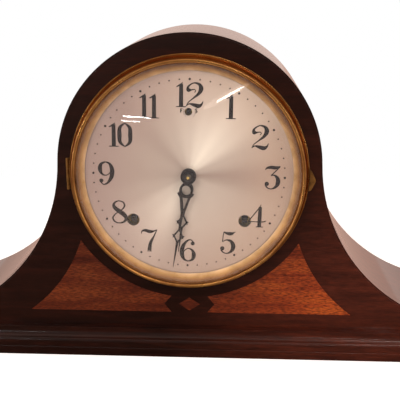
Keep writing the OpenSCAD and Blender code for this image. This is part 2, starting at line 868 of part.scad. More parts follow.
module hour_wheel() {
    color(brass)
        at_dial()
            difference() {
                union() {
                    slab(hour_wheel_y, 1)
                        polygon(teeth(hour_n, hour_m, minute_stud_a + 180 / hour_n, 0.42, 0.9, 1.2, 0.14));
                    bar(0, 0, hour_y + hand_t, hour_wheel_y - hour_y - hand_t, hour_bore + 0.5);
                    bar(0, 0, hour_y, hand_t, hour_bore - 0.02);
                }
                bar(0, 0, hour_y - 1, hour_wheel_y - hour_y + 3, tube_r + run_c);
            }
}

// Strike train
strike_great_at = [-wind_x, -wind_drop];
strike_second_n = 60;
strike_second_m = 0.56;
cam_pins = 8;
cam_n = 56;
cam_m = 0.5;
warning_pins = 8;
warning_n = 48;
warning_m = 0.45;
fly_pins = 8;
strike_second_reach = strike_second_m * (strike_second_n + cam_pins) / 2;
cam_reach = cam_m * (cam_n + warning_pins) / 2;
warning_reach = warning_m * (warning_n + fly_pins) / 2;
strike_second_at = from(strike_great_at, great_reach, 102.4);
cam_at = from(strike_second_at, strike_second_reach, 61.8);
warning_at = from(cam_at, cam_reach, 41.4);
fly_at = from(warning_at, warning_reach, 118.4);
cam_wheel_y = 24;
warning_y = 34;
count_n = 48;
count_m = 0.5;
count_pins = 8;
count_reach = count_m * (count_n + count_pins) / 2;
count_at = from(strike_second_at, count_reach, -60);
count_gear_y = 0.9;
count_disc_y = count_gear_y + wheel_t + 1;
count_r = 19;
count_disc_t = 1;
count_stud_r = 1.5;
count_lever_at = [-9, -26];
lifting_at = [-24, -4];
hammer_at = [-12.5, -42];

// Plates: pillars at the corners, cut away between the arbors
pillar_places = [[-68, -45], [68, -45], [-40, 46], [40, 46]];
screw_places = [[-66, -33], [66, -33], [-44.5, 40.5], [44.5, 40.5]];
screw_r = 1.5;
screw_l = 8;
plate_top = 51;
plate_foot = -50;
bossed = [centre_at, second_at, third_at, escape_at, strike_second_at, cam_at, warning_at, fly_at,
    count_lever_at, lifting_at, hammer_at, verge_at];
function corner(x, z, r, a) = arc(x, z, r, a, a - 90, 4);
plate_outline = concat(
    corner(-plate_top_x + 4, plate_top - 4, 4, 180), corner(plate_top_x - 4, plate_top - 4, 4, 90),
    [[plate_top_x, 34], [plate_x, -24]],
    corner(plate_x - 4, plate_foot + 4, 4, 0), corner(-plate_x + 4, plate_foot + 4, 4, 270),
    [[-plate_x, -24], [-plate_top_x, 34]]
);
module plate_shape() {
    difference() {
        polygon(plate_outline);
        // Openings that leave straps between the arbors
        polygon([[24, 33], [36, 33], [36, 38], [24, 40]]);
        polygon([[-45, 27], [-38, 29], [-38, 31.5], [-44, 30.5]]);
        polygon([[36, 4], [50, 4], [41, 24], [36, 24]]);
        polygon([[-5, -38], [8, -38], [8, -47], [-5, -47]]);
        polygon([[27, -3], [33, -3], [33, 4], [27, 4]]);
        polygon([[-13, -6], [-8, -8], [-8, -20], [-17, -20]]);
        circle(r = pivot_r + run_c);
        for (p = pillar_places)
            translate(p)
                circle(r = pillar_r * 0.55);
        for (p = bossed)
            translate(p)
                circle(r = pivot_r + run_c);
        for (s = [-1, 1])
            translate([s * wind_x, -wind_drop])
                circle(r = wind_arbor_r * 0.8 + run_c);
        translate([0, reg_z])
            circle(r = reg_arbor_r + run_c);
    }
}
reg_arbor_r = 1.5;
module front_plate() {
    color(brass)
        at_dial() {
            slab(plate_y, plate_t)
                difference() {
                    plate_shape();
                    circle(r = arbor_r + run_c);
                    translate(lifting_at)
                        circle(r = arbor_r + run_c);
                    for (p = screw_places)
                        translate(p)
                            circle(r = screw_r);
                }
            bar(minute_at[0], minute_at[1], hour_wheel_y - 0.4, plate_y - hour_wheel_y + 0.4, stud_r);
        }
}
// The back plate carries the count wheel's stud and the rails of the suspension bracket
rail_low = 36;
rail_high = 50.5;
rail_t = 2.4;
carriage_x = 5;
carriage_y = 12;
carriage_t = 6;
rail_back = carriage_y + carriage_t;
module back_plate() {
    color(brass)
        at_dial() {
            slab(back_inner_y, plate_t)
                difference() {
                    plate_shape();
                    translate(verge_at)
                        circle(r = arbor_r + run_c);
                    translate(strike_second_at)
                        circle(r = arbor_r + run_c);
                    translate(count_lever_at)
                        circle(r = arbor_r + run_c);
                }
            bar(count_at[0], count_at[1], outer_y, count_disc_y + count_disc_t + 0.4, count_stud_r);
            for (s = [-1, 1])
                translate([s * (carriage_x + run_c + rail_t / 2) - rail_t / 2, outer_y, rail_low])
                    cube([rail_t, rail_back + 1.4, rail_high - rail_low]);
            for (s = [-1, 1])
                for (y = [carriage_y - 1.2 - run_c, rail_back + run_c])
                    translate([s * (carriage_x + 0.6) - 1, outer_y + y, rail_low])
                        cube([2, 1.2, rail_high - rail_low]);
        }
}
module pillars() {
    color(brass)
        at_dial()
            for (p = pillar_places) {
                bar(p[0], p[1], inner_y, plates_gap, pillar_r);
                bar(p[0], p[1], plate_y, plates_gap + 2 * plate_t + 1.8, pillar_r * 0.55);
            }
}
module pillar_nuts() {
    color(steel)
        at_dial()
            for (p = pillar_places)
                translate([p[0], outer_y, p[1]])
                    rotate([-90, 0, 0])
                        difference() {
                            cylinder(r = 3, h = 1.8, $fn = 6);
                            cylinder(r = pillar_r * 0.55, h = 2, $fn = 64);
                        }
}
module movement_screws() {
    color(steel)
        at_dial()
            for (p = screw_places) {
                bar(p[0], p[1], plate_y - screw_l, screw_l + plate_t, screw_r);
                translate([p[0], inner_y, p[1]])
                    rotate([-90, 0, 0])
                        cylinder(r1 = 3, r2 = 2.2, h = 1.6);
            }
}

// Time train

ratchet_n = 20;
ratchet_r = 8.4;
ratchet_t = 1.5;
function ratchet_teeth(n, r, depth, lean) = [for (k = [0:n - 1]) for (q = [[r, 0], [r - depth, lean]])
    let (a = (360 * k + 360 * q[1]) / n) [q[0] * cos(a), q[0] * sin(a)]];
module great_wheel(at, mesh_a) {
    color(brass)
        at_dial() {
            slab(inner_y + great_y, wheel_t)
                translate(at)
                    difference() {
                        polygon(teeth(great_n, great_m, mesh_a + 180 / great_n, 0.46, 0.9, 1.2, 0.14));
                        circle(r = wind_arbor_r + run_c);
                        for (k = [0:4])
                            rotate(mesh_a + 72 * k + 36)
                                translate([18.2, 0])
                                    circle(r = 4.6);
                    }
            slab(inner_y + great_y + wheel_t, ratchet_t + 0.8)
                translate(from(at, click_reach, mesh_a))
                    circle(r = 1.1);
        }
}
click_reach = 12.4;
module winding_arbor(at, turn) {
    thin = wind_arbor_r * 0.8;
    color(steel)
        at_dial() {
            translate([at[0], plate_y - 4, at[1]])
                rotate([-90, 0, 0])
                    rotate_extrude()
                        polygon([[0, 0], [thin, 0], [thin, 4 + plate_t + shake],
                            [wind_arbor_r, 4 + plate_t + shake], [wind_arbor_r, 4 + plate_t + spring_y],
                            [hook_r, 4 + plate_t + spring_y], [hook_r, 4 + plate_t + spring_y + spring_w],
                            [wind_arbor_r, 4 + plate_t + spring_y + spring_w],
                            [wind_arbor_r, 4 + plate_t + plates_gap - shake],
                            [thin, 4 + plate_t + plates_gap - shake],
                            [thin, 4 + 2 * plate_t + plates_gap - 0.2],
                            [0, 4 + 2 * plate_t + plates_gap - 0.2]]);
            translate([at[0], panel_y + 0.6, at[1]])
                rotate([-90, 0, 0])
                    rotate(45)
                        cylinder(r = thin - 0.1, h = board_t - 4, $fn = 4);
            slab(inner_y + ratchet_y, ratchet_t)
                translate(at)
                    rotate(turn)
                        polygon(ratchet_teeth(ratchet_n, ratchet_r, 1.3, 0.86));
        }
}
hook_r = 4.6;
click_c = 0.25;
// The click lies tangent to its ratchet wheel and swings out on the great wheel's pin
module click(at, mesh_a) {
    color(steel)
        at_dial()
            slab(inner_y + ratchet_y, ratchet_t)
                translate(at)
                    rotate(mesh_a)
                        difference() {
                            union() {
                                translate([click_reach, 0])
                                    circle(r = 2.1);
                                polygon([[click_reach + 2, 0.6], [ratchet_r + click_c + 1.6, 7.2],
                                    [ratchet_r + click_c - 0.9, 5.6], [click_reach - 2, 0]]);
                            }
                            translate([click_reach, 0])
                                circle(r = 1.1 + run_c);
                        }
}
// The open mainspring: an Archimedean strip from the arbor's hook out to a pillar
spring_in = hook_r + 0.5;
spring_turns = 8;
spring_steps = 24 * spring_turns;
// The middle line of a flat winding, 24 points to a turn, and the least distance between its turns
function spiral(r0, r1, turns) = [for (i = [0:24 * turns]) let (u = i / (24 * turns), r = r0 + (r1 - r0) * u)
    [r * cos(360 * turns * u), r * sin(360 * turns * u)]];
function least(line) = min([for (i = [0:len(line) - 13])
    for (j = [i + 12:len(line) - 1]) norm(line[j] - line[i])]);
spring_line = spiral(spring_in + spring_t / 2, spring_r - spring_t / 2, spring_turns);
echo(least_mainspring_gap = least(spring_line) - spring_t);
module mainspring(at, pillar) {
    out = from(at, spring_r - spring_t / 2, dir(at, pillar));
    start_a = dir(at, pillar) - 360 * spring_turns;
    outer = [for (i = [0:spring_steps]) let (u = i / spring_steps, r = spring_in + spring_t
        + u * (spring_r - spring_in - spring_t)) from(at, r, start_a + 360 * spring_turns * u)];
    inner = [for (i = [spring_steps:-1:0]) let (u = i / spring_steps, r = spring_in
        + u * (spring_r - spring_in - spring_t)) from(at, r, start_a + 360 * spring_turns * u)];
    color(spring_blue)
        at_dial()
            slab(inner_y + spring_y, spring_w) {
                polygon(concat(outer, inner));
                // The loop at its outer end goes round the pillar
                translate(pillar)
                    difference() {
                        circle(r = pillar_r + spring_t);
                        circle(r = pillar_r);
                    }
                translate(out)
                    rotate(dir(out, pillar))
                        translate([-spring_t / 4, -spring_t / 2])
                            square([norm(pillar - out) - pillar_r - spring_t * 0.4, spring_t]);
            }
}
module time_great_wheel() {
    great_wheel(great_at, dir(great_at, second_at));
}
module time_winding_arbor() {
    winding_arbor(great_at, 4);
}
module time_click() {
    click(great_at, dir(great_at, second_at));
}
module time_mainspring() {
    mirror([1, 0, 0])
        mainspring(strike_great_at, pillar_places[0]);
}
module second_wheel() {
    arbor(second_at);
    lantern(second_at, pinion_y(great_y), mesh_l, second_pins, great_m, 0.45, dir(great_at, second_at));
    wheel(second_at, second_y, second_n, second_m, dir(second_at, centre_at), 4, 2.4, 5);
}
module centre_wheel() {
    arbor(centre_at);
    color(steel)
        at_dial()
            bar(0, 0, minute_y - 2.5, plate_y - minute_y + 2.7, 0.9);
    lantern(centre_at, pinion_y(second_y), mesh_l, centre_pins, second_m, 0.44, dir(second_at, centre_at));
    wheel(centre_at, centre_y, centre_n, centre_m, dir(centre_at, third_at), 4, 2, 5);
}
module third_wheel() {
    arbor(third_at);
    lantern(third_at, pinion_y(centre_y), mesh_l, third_pins, centre_m, 0.27, dir(centre_at, third_at));
    wheel(third_at, third_y, third_n, third_m, dir(third_at, escape_at), 3, 1.8, 4);
}
module escape_wheel() {
    arbor(escape_at);
    lantern(escape_at, pinion_y(third_y), mesh_l, escape_pins, third_m, 0.24, dir(third_at, escape_at));
    color(brass)
        at_dial()
            slab(inner_y + escape_y, wheel_t)
                translate(escape_at)
                    difference() {
                        polygon([for (k = [0:escape_n - 1]) for (q = [[escape_r - 1.7, 0], [escape_r - 1.7, 0.3],
                            [escape_r, 0.8], [escape_r, 0.88]])
                            let (a = 360 * (k + q[1]) / escape_n) [q[0] * cos(a), q[0] * sin(a)]]);
                        difference() {
                            circle(r = escape_r - 3.4);
                            circle(r = 2.8);
                            for (k = [0:3])
                                rotate(90 * k)
                                    translate([0, -0.7])
                                        square([escape_r - 2, 1.4]);
                        }
                        circle(r = arbor_r);
                    }
}
crutch_y = outer_y + 2.2;
crutch_l = 44;
pendulum_y = outer_y + 15;
fork_c = 0.3;
module verge_and_crutch() {
    color(steel)
        at_dial() {
            bar(verge_at[0], verge_at[1], inner_y + shake, back_inner_y + plate_t + 4.2 - inner_y, arbor_r);
            bar(verge_at[0], verge_at[1], plate_y + 0.2, plate_t, pivot_r);
            // Strip pallets bent down to the escape wheel on both sides
            slab(inner_y + escape_y - 1, wheel_t + 2)
                difference() {
                    union() {
                        translate(escape_at)
                            difference() {
                                circle(r = escape_r + pallet_c + 1);
                                circle(r = escape_r + pallet_c);
                                for (s = [-1, 1])
                                    rotate(s * (90 - pallet_span))
                                        translate([s > 0 ? -0.01 : -60, -60])
                                            square([60, 60]);
                                translate([-60, -60])
                                    square([120, 60 + 9]);
                            }
                        translate(verge_at)
                            circle(r = 1.7);
                    }
                    translate(verge_at)
                        circle(r = arbor_r);
                }
            // Crutch arm and its fork round the pendulum rod
            slab(crutch_y, 1.2)
                translate([-1.1, verge_z - crutch_l])
                    square([2.2, crutch_l + 2]);
            translate([0, crutch_y, verge_z - crutch_l])
                difference() {
                    translate([-3, 0, 0])
                        cube([6, pendulum_y - crutch_y + 3, 1.2]);
                    translate([-rod_r - fork_c, 3, -1])
                        cube([2 * (rod_r + fork_c), pendulum_y - crutch_y + 1, 4]);
                }
        }
}

// Suspension, regulator and pendulum

strip_w = 5;
strip_t = 0.3;
rack_m = 0.6;
reg_teeth = 8;
reg_pitch_r = rack_m * reg_teeth / 2;
window_x = reg_pitch_r + 1;
module suspension_carriage() {
    color(brass)
        at_dial() {
            slab(outer_y + carriage_y, carriage_t)
                difference() {
                    translate([-carriage_x, verge_z + 4])
                        square([2 * carriage_x, 12.6]);
                    translate([-reg_pitch_r - 0.85, reg_z - 4.8])
                        square([reg_pitch_r + 0.85 + window_x, 9.6]);
                }
            // Rack teeth on the window's left side
            slab(outer_y + carriage_y, carriage_t)
                for (k = [-3:2])
                    translate([-reg_pitch_r, reg_z + (k + 0.5) * PI * rack_m])
                        polygon([[-0.95, -0.52], [-0.1, -0.32], [0.45, -0.14], [0.45, 0.14], [-0.1, 0.32],
                            [-0.95, 0.52]]);
            // The lower jaw and the clamped half of the spring
            slab(outer_y + carriage_y + 0.3, carriage_t - 0.6)
                translate([-1.6, verge_z + 0.6])
                    square([3.2, 3.6]);
        }
    color(spring_blue)
        at_dial()
            translate([-strip_t / 2, pendulum_y - strip_w / 2, verge_z + 0.1])
                cube([strip_t, strip_w, 0.6]);
}
rod_top = verge_z - 8;
bob_z = verge_z - pendulum_l;
thread_l = 7;
module pendulum_rod() {
    color(spring_blue)
        at_dial()
            translate([-strip_t / 2, pendulum_y - strip_w / 2, rod_top])
                cube([strip_t, strip_w, verge_z - 0.1 - rod_top]);
    color(steel)
        at_dial() {
            translate([0, pendulum_y, bob_z - bob_r - thread_l])
                cylinder(r = rod_r, h = rod_top + 1.5 - bob_z + bob_r + thread_l);
            translate([-1, pendulum_y - 1.8, rod_top - 0.5])
                cube([2, 3.6, 3]);
        }
}
module pendulum_bob() {
    color(brass)
        at_dial()
            difference() {
                translate([0, pendulum_y, bob_z])
                    rotate([-90, 30, 0])
                        rotate_extrude()
                            polygon(concat([[0, -bob_t / 2]],
                                [for (a = [-80:20:80]) [bob_r - 3 + 3 * cos(a), bob_t / 2 * sin(a) / sin(80)]],
                                [[0, bob_t / 2]]));
                translate([-rod_r - run_c, pendulum_y - rod_r - run_c, bob_z - 2 * bob_r])
                    cube([2 * (rod_r + run_c), bob_t, 4 * bob_r]);
            }
}
nut_h = 2.4;
nut_r = 3.6;
module rating_nut() {
    color(brass)
        at_dial()
            difference() {
                translate([0, pendulum_y, bob_z - bob_r - nut_h - 0.1])
                    cylinder(r = nut_r, h = nut_h);
                translate([0, pendulum_y, bob_z - bob_r - nut_h - 1])
                    cylinder(r = rod_r + run_c, h = nut_h + 2);
                for (k = [0:11])
                    rotate_about(k * 30)
                        translate([nut_r + 0.35, 0, bob_z - bob_r - nut_h - 1])
                            cylinder(r = 0.6, h = nut_h + 2);
            }
}
module rotate_about(a) {
    translate([0, pendulum_y, 0])
        rotate(a)
            children();
}
module regulator_arbor() {
    color(steel)
        at_dial() {
            bar(0, reg_z, panel_y + 0.8, outer_y + rail_back - 0.6 - panel_y, reg_arbor_r);
            translate([0, panel_y - 0.4, reg_z])
                rotate([-90, 0, 0])
                    rotate(45)
                        cylinder(r = reg_arbor_r - 0.1, h = 1.4, $fn = 4);
            bar(0, reg_z, inner_y + shake, 1, reg_arbor_r + 1);
        }
    color(brass)
        at_dial()
            slab(outer_y + carriage_y + 0.2, carriage_t - 0.4)
                translate([0, reg_z])
                    polygon(teeth(reg_teeth, rack_m, 180, 0.36, 0.8, 1.2, 0.16));
}

// Strike train

module strike_great_wheel() {
    great_wheel(strike_great_at, dir(strike_great_at, strike_second_at));
}
module strike_winding_arbor() {
    winding_arbor(strike_great_at, 4);
}
module strike_click() {
    click(strike_great_at, dir(strike_great_at, strike_second_at));
}
module strike_mainspring() {
    mainspring(strike_great_at, pillar_places[0]);
}
module strike_second_wheel() {
    arbor(strike_second_at);
    color(steel)
        at_dial()
            bar(strike_second_at[0], strike_second_at[1], back_inner_y - 1, plate_t + 1 + count_gear_y + wheel_t,
                arbor_r);
    color(brass)
        at_dial()
            slab(outer_y + count_gear_y - 0.5, wheel_t + 0.8)
                translate(strike_second_at)
                    leaves(count_pins, count_m, dir(strike_second_at, count_at));
    lantern(strike_second_at, pinion_y(great_y), mesh_l, second_pins, great_m, 0.45,
        dir(strike_great_at, strike_second_at));
    wheel(strike_second_at, second_y, strike_second_n, strike_second_m, dir(strike_second_at, cam_at), 4, 2.4, 5);
}
cam_ring = 10.4;
lift_pin_r = 0.6;
module cam_wheel() {
    arbor(cam_at);
    lantern(cam_at, pinion_y(second_y), mesh_l, cam_pins, strike_second_m, 0.35, dir(strike_second_at, cam_at));
    wheel(cam_at, cam_wheel_y, cam_n, cam_m, dir(cam_at, warning_at), 3.4, 5, 4);
    color(steel)
        at_dial()
            for (k = [0:1])
                bar(cam_at[0] + cam_ring * cos(180 * k + 60), cam_at[1] + cam_ring * sin(180 * k + 60),
                    inner_y + cam_wheel_y - 5, 5 + wheel_t, lift_pin_r);
}
warning_ring = 8;
module warning_wheel() {
    arbor(warning_at);
    lantern(warning_at, pinion_y(cam_wheel_y), mesh_l, warning_pins, cam_m, 0.31, dir(cam_at, warning_at));
    wheel(warning_at, warning_y, warning_n, warning_m, dir(warning_at, fly_at), 3, 2.4, 4);
    color(steel)
        at_dial()
            bar(warning_at[0], warning_at[1] + warning_ring, inner_y + warning_y, wheel_t + 2.2, 0.5);
}
fly_r = 7.4;
fly_l = 22;
module fly() {
    arbor(fly_at);
    lantern(fly_at, pinion_y(warning_y), mesh_l, fly_pins, warning_m, 0.28, dir(warning_at, fly_at));
    color(brass)
        at_dial()
            slab(inner_y + 6, fly_l)
                translate(fly_at)
                    rotate(dir(warning_at, fly_at) + 60)
                        difference() {
                            union() {
                                translate([-fly_r, -0.25])
                                    square([2 * fly_r, 0.5]);
                                circle(r = arbor_r + 0.7);
                            }
                            circle(r = arbor_r);
                        }
}
// Slots after each hour's blows and each half hour's one, ninety steps in twelve hours
function blows(h) = h * (h + 1) / 2 + h;
module count_wheel() {
    color(brass)
        at_dial() {
            difference() {
                union() {
                    slab(outer_y + count_gear_y, wheel_t)
                        translate(count_at)
                            polygon(teeth(count_n, count_m, dir(count_at, strike_second_at) + 180 / count_n,
                                0.42, 0.9, 1.2, 0.14));
                    bar(count_at[0], count_at[1], outer_y + count_gear_y, count_disc_y - count_gear_y + 0.2, 4);
                    slab(outer_y + count_disc_y, count_disc_t)
                        translate(count_at)
                            difference() {
                                circle(r = count_r);
                                for (h = [1:12])
                                    rotate(count_rest_a - 4 * blows(h))
                                        translate([count_r, 0])
                                            square([4, 0.9], center = true);
                                for (k = [0:4])
                                    rotate(72 * k)
                                        translate([9.6, 0])
                                            circle(r = 3.6);
                            }
                }
                bar(count_at[0], count_at[1], outer_y - 1, 20, count_stud_r + run_c);
            }
        }
}
beak_at = [-22.4, -3.4];
count_rest_a = dir(count_at, beak_at) + 4 * blows(1);
module count_lever() {
    color(steel)
        at_dial() {
            bar(count_lever_at[0], count_lever_at[1], inner_y + shake, plates_gap + plate_t + count_disc_y + 1.4,
                arbor_r);
            bar(count_lever_at[0], count_lever_at[1], plate_y + 0.2, 2, pivot_r);
            slab(outer_y + count_disc_y, count_disc_t) {
                translate(count_lever_at)
                    circle(r = 2.4);
                polygon([count_lever_at + [-1.4, 1.4], count_lever_at + [1.6, 1.4], [-17, 1.5], [-20.4, 1.5],
                    beak_at + [0.3, 0.9], beak_at, beak_at + [1, 0], [-19.4, -0.6]]);
            }
            slab(inner_y + escape_y + 4.4, 1)
                polygon([count_lever_at + [-1.4, 0], count_lever_at + [1.4, 0], count_lever_at + [1, 9],
                    count_lever_at + [-1, 9]]);
        }
}
module lifting_lever() {
    color(steel)
        at_dial() {
            bar(lifting_at[0], lifting_at[1], cam_y, plate_t + plates_gap + 1.2 - shake, arbor_r);
            bar(lifting_at[0], lifting_at[1], back_inner_y - 1, plate_t + 0.8, pivot_r);
            slab(cam_y, cam_t) {
                translate(lifting_at)
                    circle(r = 2.4);
                polygon([lifting_at + [1, 1.4], lifting_at + [1, -1.4], [-6.2, -2.8], [-5.3, -2], [-5.3, -0.2]]);
            }
            slab(inner_y + warning_y + wheel_t + 0.8, 1)
                polygon([lifting_at + [-1.4, 0], lifting_at + [1.4, 0], [-20.6, 15.6], [-21.8, 16]]);
        }
}

// Gong and hammer

gong_y = inner_y + 20;
gong_at = [0, base_h + gong_r + 8 - dial_h];
hammer_head_r = 4;
hammer_head_l = 9;
hammer_wire = 1;
head_z = gong_at[1];
head_x = gong_at[0] - gong_r - gong_t - strike_gap;
tail_at = [-22.4, 2];
module hammer() {
    color(steel)
        at_dial() {
            bar(hammer_at[0], hammer_at[1], inner_y + shake, plates_gap - 2 * shake, arbor_r);
            bar(hammer_at[0], hammer_at[1], plate_y + 0.2, plates_gap + 2 * plate_t - 0.4, pivot_r);
            translate([hammer_at[0], gong_y, hammer_at[1]])
                rod_between([0, 0], [head_x - hammer_head_l / 2 - hammer_at[0], head_z - hammer_at[1]], hammer_wire);
            slab(gong_y - 0.6, 1.2)
                polygon([hammer_at + [-1.5, -1], hammer_at + [1.5, -1], hammer_at + [1.2, 12], tail_at + [1.2, 0],
                    tail_at + [0, 1], tail_at + [-0.6, -0.4]]);
        }
    color(brass)
        at_dial()
            translate([head_x - hammer_head_l, gong_y, head_z])
                rotate([0, 90, 0])
                    cylinder(r = hammer_head_r, h = hammer_head_l);
}
// A straight wire in a plane across Y
module rod_between(a, b, r) {
    d = b - a;
    translate([a[0], 0, a[1]])
        rotate([0, 90 - atan2(d[1], d[0]), 0])
            cylinder(r = r, h = norm(d));
}
post_r = 3;
module gong_stand() {
    post_y = gong_y - gong_t - post_r - 1.4;
    color("#3b3a3c")
        at_dial() {
            translate([gong_at[0], post_y, base_h - dial_h])
                rotate_extrude()
                    polygon([[0, 0], [14, 0], [14, 2.2], [13, 3], [8, 3.6], [4.5, 6], [post_r, 10],
                        [post_r, gong_at[1] - base_h + dial_h], [0, gong_at[1] - base_h + dial_h]]);
            translate([gong_at[0], post_y - post_r - 0.4, gong_at[1]])
                rotate([-90, 0, 0])
                    rotate_extrude()
                        polygon([[0, 0], [post_r + 0.8, 0], [post_r + 0.8, 2 * post_r + 0.8],
                            [gong_in - gong_t, 2 * post_r + 0.8],
                            [gong_in - gong_t, 2 * post_r + 1.8 + 2 * gong_t],
                            [0, 2 * post_r + 1.8 + 2 * gong_t]]);
        }
}
gong_steps = 24 * gong_turns;
gong_sides = 6;
echo(least_gong_gap = least(spiral(gong_in, gong_r, gong_turns)) - gong_t);
// One unbroken flattened wire wound outwards from the block at its middle
module gong_coil() {
    points = [for (i = [0:gong_steps]) let (u = i / gong_steps, r = gong_in + (gong_r - gong_in) * u,
        a = 360 * gong_turns * u + 90) for (k = [0:gong_sides - 1])
        let (b = 360 * k / gong_sides, q = r + gong_t / 2 * cos(b))
        [gong_at[0] + q * cos(a), gong_y + gong_t / 2 * sin(b), gong_at[1] + q * sin(a)]];
    last = gong_steps * gong_sides;
    faces = concat(
        [[for (k = [0:gong_sides - 1]) k]],
        [for (i = [0:gong_steps - 1]) for (k = [0:gong_sides - 1]) let (n = (k + 1) % gong_sides)
            [i * gong_sides + k, (i + 1) * gong_sides + k, (i + 1) * gong_sides + n]],
        [for (i = [0:gong_steps - 1]) for (k = [0:gong_sides - 1]) let (n = (k + 1) % gong_sides)
            [i * gong_sides + k, (i + 1) * gong_sides + n, i * gong_sides + n]],
        [[for (k = [gong_sides - 1:-1:0]) last + k]]
    );
    color(steel)
        at_dial()
            polyhedron(points, faces);
}

front_board();
flame_inlays();
case_wrap();
back_board();
base_board();
glue_blocks();
back_door();
door_knob();
door_hinge_case_leaves();
door_hinge_door_leaves();
door_button();
bezel_ring();
bezel_glass();
sight_ring();
bezel_pull();
bezel_hinge_knuckle();
bezel_hinge_plate();
dial_pan();
dial_plate();
dial_screws();
minute_hand();
hour_hand();
hand_nut();
cannon_pinion();
minute_wheel();
hour_wheel();
front_plate();
back_plate();
pillars();
pillar_nuts();
movement_screws();
time_great_wheel();
time_winding_arbor();
time_click();
time_mainspring();
second_wheel();
centre_wheel();
third_wheel();
escape_wheel();
verge_and_crutch();
suspension_carriage();
pendulum_rod();
pendulum_bob();
rating_nut();
regulator_arbor();
strike_great_wheel();
strike_winding_arbor();
strike_click();
strike_mainspring();
strike_second_wheel();
cam_wheel();
warning_wheel();
fly();
count_wheel();
count_lever();
lifting_lever();
hammer();
gong_stand();
gong_coil();
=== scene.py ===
# %% [markdown]
# # A tambour mantel clock
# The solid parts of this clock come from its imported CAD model. This lesson dresses them: it gives every
# part the finish that the real one has, turns the parts that need a finer curve, prints the dial, and sets
# up a plain studio. Everything is in metres in the CAD's own frame: X runs to the right of the dial,
# -Y is the front, +Z is up, and the origin is the middle of the underside.
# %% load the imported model
import math

import bmesh
import bpy
from mathutils import Matrix, Vector


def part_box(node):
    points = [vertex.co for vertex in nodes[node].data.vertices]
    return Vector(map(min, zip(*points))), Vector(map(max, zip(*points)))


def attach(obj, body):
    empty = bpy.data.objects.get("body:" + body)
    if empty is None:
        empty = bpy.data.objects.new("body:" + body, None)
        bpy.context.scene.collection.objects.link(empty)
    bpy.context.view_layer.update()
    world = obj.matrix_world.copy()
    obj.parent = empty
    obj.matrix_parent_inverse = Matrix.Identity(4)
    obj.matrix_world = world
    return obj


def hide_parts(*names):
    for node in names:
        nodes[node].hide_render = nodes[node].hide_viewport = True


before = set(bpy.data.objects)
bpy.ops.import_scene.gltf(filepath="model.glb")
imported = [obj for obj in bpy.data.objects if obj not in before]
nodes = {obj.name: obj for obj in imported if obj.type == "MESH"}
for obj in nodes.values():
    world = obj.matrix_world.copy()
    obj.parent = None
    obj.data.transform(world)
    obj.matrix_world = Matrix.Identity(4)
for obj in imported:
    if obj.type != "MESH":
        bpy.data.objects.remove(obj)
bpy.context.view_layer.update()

scene = bpy.context.scene
print("the frame holds", len(nodes), "solid parts")

# %% [markdown]
# ## Places on the clock
# What is turned or printed here has to sit on the solid parts, so its places are measured on them: the
# middle of the dial, the dial's face, and the face of the front panel. They are kept in millimetres.
# %% measure the dial and the panel
MM = 0.001
plate_low, plate_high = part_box("dial_plate")
DIAL_Z = round((plate_low.z + plate_high.z) / 2 / MM, 2)
FACE_Y = round(plate_low.y / MM, 2)
PANEL_Y = round(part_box("front_board")[0].y / MM, 2)
print("the dial's middle is", DIAL_Z, "mm up, its face at", FACE_Y, "mm and the panel at", PANEL_Y, "mm")

# %% [markdown]
# ## Small helpers
# Colours are written as the eye reads them, in sRGB hex, and one function turns them into the linear
# values that the shaders work in. Another adds any shader node with its settings, its links and, for a
# colour ramp, its stops, so a material reads as a short list. Sizes in a pattern are given in millimetres
# of real wood or metal.
# %% colours
def colour(text):
    parts = [int(text[i:i + 2], 16) / 255 for i in (1, 3, 5)]
    return tuple(c / 12.92 if c <= 0.04045 else ((c + 0.055) / 1.055) ** 2.4 for c in parts) + (1.0,)


print("mid grey is", round(colour("#808080")[0], 3), "in linear light")


# %% shader nodes
def plug(tree, node, inputs):
    for name, value in inputs.items():
        value = colour(value) if isinstance(value, str) else value
        if isinstance(value, bpy.types.NodeSocket):
            tree.links.new(value, node.inputs[name])
        else:
            node.inputs[name].default_value = value


def add(tree, kind, inputs=None, stops=(), **settings):
    made = tree.nodes.new(kind)
    for name, value in settings.items():
        setattr(made, name, value)
    plug(tree, made, inputs or {})
    elements = made.color_ramp.elements if stops else ()
    while len(elements) < len(stops):
        elements.new(0.5)
    for element, (place, tone) in zip(elements, stops):
        element.position = place
        element.color = colour(tone) if isinstance(tone, str) else (tone, tone, tone, 1)
    return made


print("one helper adds every node")


# %% a blank material, and the grain of a worked surface
def new_material(name):
    material = bpy.data.materials.new(name)
    material.use_nodes = True
    tree = material.node_tree
    place = add(tree, "ShaderNodeTexCoord").outputs["Object"]
    return material, tree, tree.nodes["Principled BSDF"], place


def grain(tree, place, along_mm, across_mm, detail=3.0, twist=0.0, turn=0.0):
    mapped = add(tree, "ShaderNodeMapping", {
        "Vector": place,
        "Rotation": (0, turn, 0),
        "Scale": (1 / (along_mm * MM), 1 / (across_mm * MM), 1 / (across_mm * MM)),
    })
    return add(tree, "ShaderNodeTexNoise", {
        "Vector": mapped.outputs["Vector"], "Scale": 1.0, "Detail": detail, "Distortion": twist,
    }).outputs["Fac"]


print("materials follow each part's own coordinates, in metres")

# %% [markdown]
# ## The camera
# The photograph was taken from just right of the middle and about sixteen degrees above, half a metre
# away. A camera that close bends the case's ends away strongly, so both its place and its lens matter.
# The focal length was found in pixels of a frame 400 pixels wide, and is turned to millimetres here.
# %% place the camera
AZIMUTH, ELEVATION = math.radians(2.69), math.radians(16.14)
DISTANCE = 0.51182
AIM_RIGHT, AIM_DOWN = 7.64, 17.92
FOCAL_PIXELS, FRAME_PIXELS, SENSOR_MM = 743.48, 400, 36

